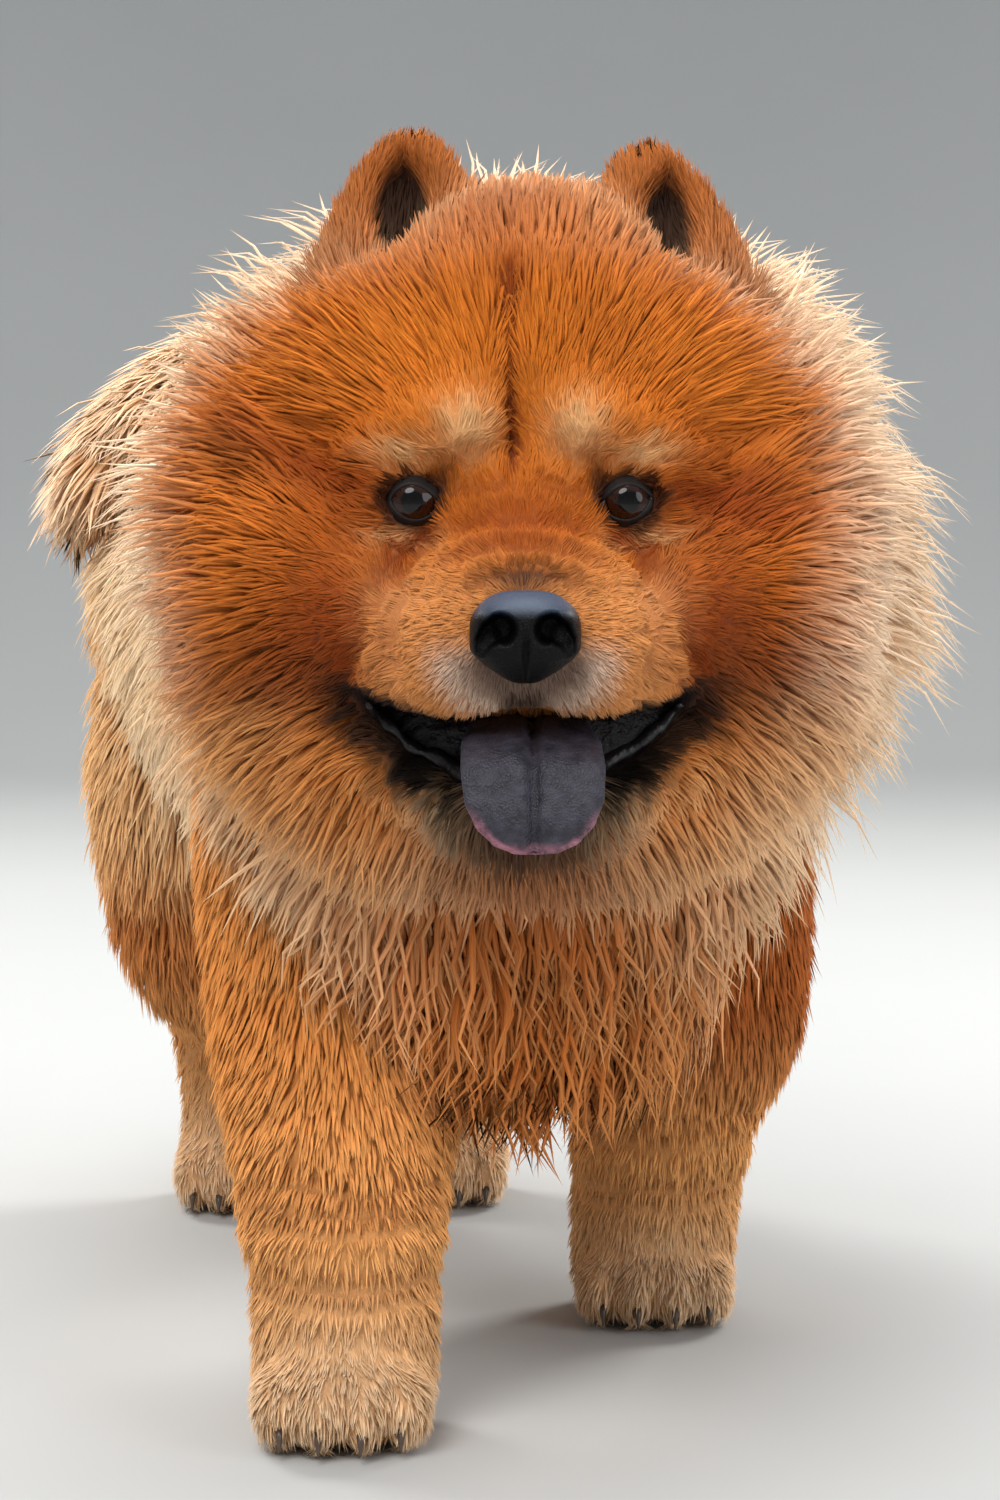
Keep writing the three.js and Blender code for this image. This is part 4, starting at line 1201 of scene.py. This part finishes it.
def eyelids():
    # Dark lid round each eye: from the opening on the ball, out over a rim, and in under the coat
    values = {
        "around": 72, "rows": 14, "opening": (8.7, 6.9), "outer": (15.5, 13.0), "rim": 0.4, "off": 0.4,
        "drawnIn": 0.22, "upperEdge": -0.9, "lowerEdge": 0.3, "slant": 1.0, "turnedIn": 0.9, "thickness": 1.2,
    }
    for name, centre in eyes.items():
        side = 1 if name.endswith("left") else -1
        angle = np.linspace(0, 2 * np.pi, values["around"], endpoint=False)
        share = np.linspace(0, 1, values["rows"])[:, None]
        c, s = np.cos(angle), np.sin(angle)
        # Almond: the height falls towards the corners, and the inner corner is drawn in and down
        inner = bell(angle - (np.pi if side > 0 else 0), 0.45) + bell(angle - 2 * np.pi * (side < 0), 0.45)
        openX = values["opening"][0] * c * (1 + values["drawnIn"] * inner)
        openZ = values["opening"][1] * s * (1 - values["drawnIn"] * c**2)
        openZ = openZ + np.where(s > 0, values["upperEdge"], values["lowerEdge"]) + values["slant"] * side * c
        x = openX * (1 - share) + values["outer"][0] * c * share
        z = openZ * (1 - share) + values["outer"][1] * s * share
        # The lid keeps off the ball, and its rim is a round roll at the opening
        ball = np.sqrt(np.maximum((eyeRadius + values["off"]) ** 2 - x**2 - z**2, 0))
        y = -np.maximum(ball, 3.0 * (1 - share)) - values["rim"] * bell(share - 0.17, 0.13)
        y = y + values["turnedIn"] * (1 - ease(0, 0.12, share))
        front = np.stack([x, y, z], 2)
        back = front + np.array([0, values["thickness"], 0])
        points = np.concatenate([front, back[::-1]]).reshape(-1, 3) + centre
        rows, n = 2 * values["rows"], values["around"]
        i, k = np.meshgrid(np.arange(rows), np.arange(n), indexing="ij")
        a, b = (i * n + k).ravel(), (i * n + (k + 1) % n).ravel()
        a2, b2 = ((i + 1) % rows * n + k).ravel(), ((i + 1) % rows * n + (k + 1) % n).ravel()
        lid = meshObject(f"eyelids_{name[4:]}", points, np.stack([a, a2, b2, b], 1))
        lid.data.materials.append(lidMaterial)
        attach(lid, "root")


lidMaterial = material("eyelid", lambda: {
    "Base Color": mix(noise(500.0), rgba(srgb(8, 6, 6)), rgba(srgb(26, 17, 14))),
    "Normal": bumped(noise(1400.0), 0.4, 0.0005)}, Roughness=0.6, Specular_IOR_Level=0.3)
eyelids()


def nosePad():
    values = {
        "at": inHead(1.5, -74, -50), "size": (21.0, 18.0, 17.5), "pit": 11.0, "cleft": 2.6, "rim": 1.2,
        "topSlope": 7.0, "footSlope": 5.0, "reflectedBlueFrom": (0.007, 0.014), "black": srgb(7, 6, 7),
        "reflectedBlue": srgb(56, 74, 96),
    }
    points, faces = egg((0, 0, 0), (1, 1, 1), around=128, rows=96)
    # Squared ball, |x|^3 + |y|^3 + |z|^3 = 1, broad and flat above and drawn in to a narrow foot below
    grow = (np.abs(points) ** 3.0).sum(1) ** (-1 / 3.0)
    p = points * grow[:, None] * np.array(values["size"])
    x, y, z = p.T
    p[:, 0] = x * (1 - 0.58 * ease(-3, -21, z) - 0.10 * ease(6, 17, z))
    x = p[:, 0]
    front = ease(2, -9, y)
    push = np.zeros(len(p))
    # Nostrils: a deep round pit that narrows to a slit curling outward and down
    comma = [(9.6, 3.6), (12.5, 2.2), (15.2, -1.0), (16.4, -4.5)]
    gap, share = nearLine(np.abs(x), z, comma)
    push += values["pit"] * (1 - 0.75 * share) * ease(1.25, 0.55, gap / (6.0 - 3.6 * share))
    push += values["cleft"] * bell(x, 1.1) * ease(4, -3, z)
    push -= values["rim"] * bell(np.abs(x) - 10, 6) * bell(z - 9.5, 3.5)
    p[:, 1] += push * front
    slopes = values["topSlope"] * ease(7, 17, z) + values["footSlope"] * ease(-6, -18, z)
    p[:, 1] += slopes * ease(6, -12, y)

    pad = meshObject("nose_pad", p + values["at"], faces)
    # Painted shade: the nostril pits darken to black, carried in the coatColour attribute that the nose's material
    # multiplies in
    pit = ease(0.15, 0.5, push * front / values["pit"])
    setColours(pad.data, np.tile((1 - pit)[:, None], (1, 3)))

    def shader():
        cell = Sock.node("ShaderNodeTexVoronoi", {"feature": "DISTANCE_TO_EDGE"},
                         {"Vector": objectPoint(), "Scale": 950.0}, "Distance")
        bumps = cell.over(0.0, 0.25)
        height = Sock.node("ShaderNodeSeparateXYZ", {}, {0: objectPoint()}, "Z")
        # Painted sky reflection: bluish grey over the top of the pad, black below
        middle = float(toScene(values["at"])[2])
        top = height.over(*[middle + edge for edge in values["reflectedBlueFrom"]])
        colour = mix(top, rgba(values["black"]), rgba(values["reflectedBlue"]))
        colour = mix(1.0, colour, attribute("coatColour"), "MULTIPLY")
        return {"Base Color": colour, "Roughness": 0.34 + noise(300.0) * 0.2, "Coat Weight": top * 0.5,
                "Normal": bumped(bumps, 0.35, 0.0006)}

    pad.data.materials.append(material("nose", shader, Specular_IOR_Level=0.12, Coat_Roughness=0.3))
    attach(pad, "root")
    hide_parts("nose")


nosePad()


lipMaterial = material("lip", lambda: {
    "Base Color": mix(noise(160.0), rgba(srgb(10, 8, 9)), rgba(srgb(30, 22, 24))),
    "Roughness": 0.22 + noise(120.0) * 0.25,
    "Normal": bumped(noise(420.0), 0.5, 0.0015)}, Specular_IOR_Level=0.35)


throatMaterial = material("throat", lambda: {
    "Base Color": mix(noise(120.0), rgba(srgb(5, 3, 4)), rgba(srgb(24, 14, 13))),
    "Normal": bumped(noise(190.0, 5.0), 0.9, 0.004)}, Roughness=0.4, Specular_IOR_Level=0.25)


def mouth():
    # A dark hollow behind the opening and a lip along its lower edge, both swept round an arc from corner to corner
    values = {
        "turn": 84, "sections": 13, "hollow": (14, 20, 7), "hollowArc": (65, 56), "hollowBack": 54, "hollowUp": -98,
        "cornerRise": 25, "lip": 2.2, "reach": 62, "lipDrop": 11,
    }
    turns = np.radians(np.linspace(-values["turn"], values["turn"], values["sections"]))
    deep, tall, low = values["hollow"]
    wide, forward = values["hollowArc"]
    hollowLine, lipLine = [], []
    for a in turns:
        corner = 1 - math.cos(a)
        x, y = 2 + wide * math.sin(a), values["hollowBack"] - forward * math.cos(a)
        at = inHead(x, y, values["hollowUp"] + values["cornerRise"] * corner)
        hollowLine.append([at, deep, tall + (low - tall) * corner])
        thick = values["lip"] * (1.4 - 0.6 * corner)
        lx = 2 + values["reach"] * math.sin(a)
        lz = float(mouthLine(np.array(lx))) - values["lipDrop"] * math.cos(a)
        q = skinPoints - headAt
        near = q[np.hypot(q[:, 0] - lx, q[:, 2] - lz) < 4]
        lipLine.append([inHead(lx, near[:, 1].min() + 0.5, lz), thick, thick])
    points, faces = Sweep(hollowLine, side=(0, 1, 0)).mesh(around=32, rows=80)
    hollow = meshObject("mouth_hollow", points, faces)
    points, faces = Sweep(lipLine, side=(0, 1, 0.2)).mesh(around=20, rows=160)
    wobble = valueNoise(points, 6.0, 3.0) * 1.8
    lip = meshObject("lower_lip", points + np.stack([wobble * 0.4, wobble * 0.7, wobble], 1), faces)
    for piece in (hollow, lip):
        piece.data.materials.append(lipMaterial if piece is lip else throatMaterial)
        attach(piece, "root")
    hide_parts("lower_jaw")


def tonguePiece():
    # Swept out of the mouth and down, with a groove along its middle and a shallow one at each side
    values = {
        "groove": (3.6, 2.2), "sideGroove": (0.5, 4), "ripple": 0.35, "dark": srgb(30, 29, 38),
        "grey": srgb(62, 58, 70), "pink": srgb(176, 112, 130),
    }
    line = Sweep([
        [inHead(3, 12, -88), 22, 6], [inHead(3.5, -24, -90), 25, 6], [inHead(4, -52, -93), 27, 5.5],
        [inHead(4.5, -70, -100), 27.5, 5], [inHead(5, -77, -111), 26.5, 4.6], [inHead(5.3, -79, -120), 23, 4.2],
        [inHead(5.5, -78.5, -127), 17, 3.6], [inHead(5.6, -77.5, -131), 9.5, 2.6],
    ], power=2.4)
    points, faces = line.mesh(around=168, rows=120)
    x = points[:, 0] - inHead(4, 0, 0)[0]
    normals = vertexNormals(points, faces)
    outside = ease(0.1, 0.6, normals @ unit(np.array([0, -0.75, 0.65])))
    depth, wide = values["groove"]
    sideDepth, sideWide = values["sideGroove"]
    sunk = depth * bell(x - 0.6, wide) + sideDepth * bell(np.abs(x) - 15, sideWide)
    points = points - normals * (outside * sunk)[:, None]
    points = points + normals * (valueNoise(points, 5.0, 9.0) * values["ripple"] * outside)[:, None]
    tongue = meshObject("tongue_surface", points, faces)
    # Pink towards the outline of the hanging end
    q = points - inHead(5.2, 0, 0)
    drop = np.clip((-104 - q[:, 2]) / 27, 0, 1)
    half = 26.5 * np.sqrt(1 - drop**2) + 0.5
    pink = ease(0.8, 1.0, np.abs(q[:, 0]) / half) * ease(0.3, 0.75, drop) + 0.8 * ease(0.82, 1.0, drop)
    setColours(tongue.data, np.tile(np.clip(pink, 0, 1)[:, None], (1, 3)))

    def shader():
        patches = noise(150.0, 6.0, 0.7)
        colour = mix(patches.over(0.3, 0.7), rgba(values["dark"]), rgba(values["grey"]))
        pinkness = attribute("coatColour", "Fac") * patches.over(0.25, 0.6) * 0.8
        colour = mix(pinkness, colour, rgba(values["pink"]))
        dots = Sock.node("ShaderNodeTexVoronoi", {}, {"Vector": objectPoint(), "Scale": 1100.0}, "Distance")
        return {"Base Color": colour, "Roughness": 0.36 + patches * 0.3, "Normal": bumped(dots, 0.6, 0.0007)}

    tongue.data.materials.append(material("tongue", shader, Specular_IOR_Level=0.4))
    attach(tongue, "root")
    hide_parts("tongue")


mouth()
tonguePiece()


def claws():
    # A short tapering hook at the front of each toe
    values = {"length": 5.5, "size": 2.2}
    clawMaterial = material("claw", lambda: {
        "Base Color": mix(noise(400.0), rgba(srgb(58, 46, 40)), rgba(srgb(96, 80, 68)))}, Roughness=0.35)
    for name, ((x, y), (wide, long)) in paws.items():
        for k, share in enumerate(toeSpread):
            reach = long * (1.02 - 0.35 * share * share)
            root = np.array([x + share * wide * 0.92, y - reach + 5, 12])
            tip = root + np.array([0, -values["length"], -8])
            mid = root + np.array([0, -values["length"] * 0.62, -1.5])
            s = values["size"]
            points, faces = Sweep([[root, s, s], [mid, s * 0.75, s * 0.85], [tip, 0.5, 0.5]]).mesh(around=14, rows=12)
            claw = meshObject(f"claw_{name}_{k + 1}", points, faces)
            claw.data.materials.append(clawMaterial)
            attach(claw, "root")


claws()
say("details")
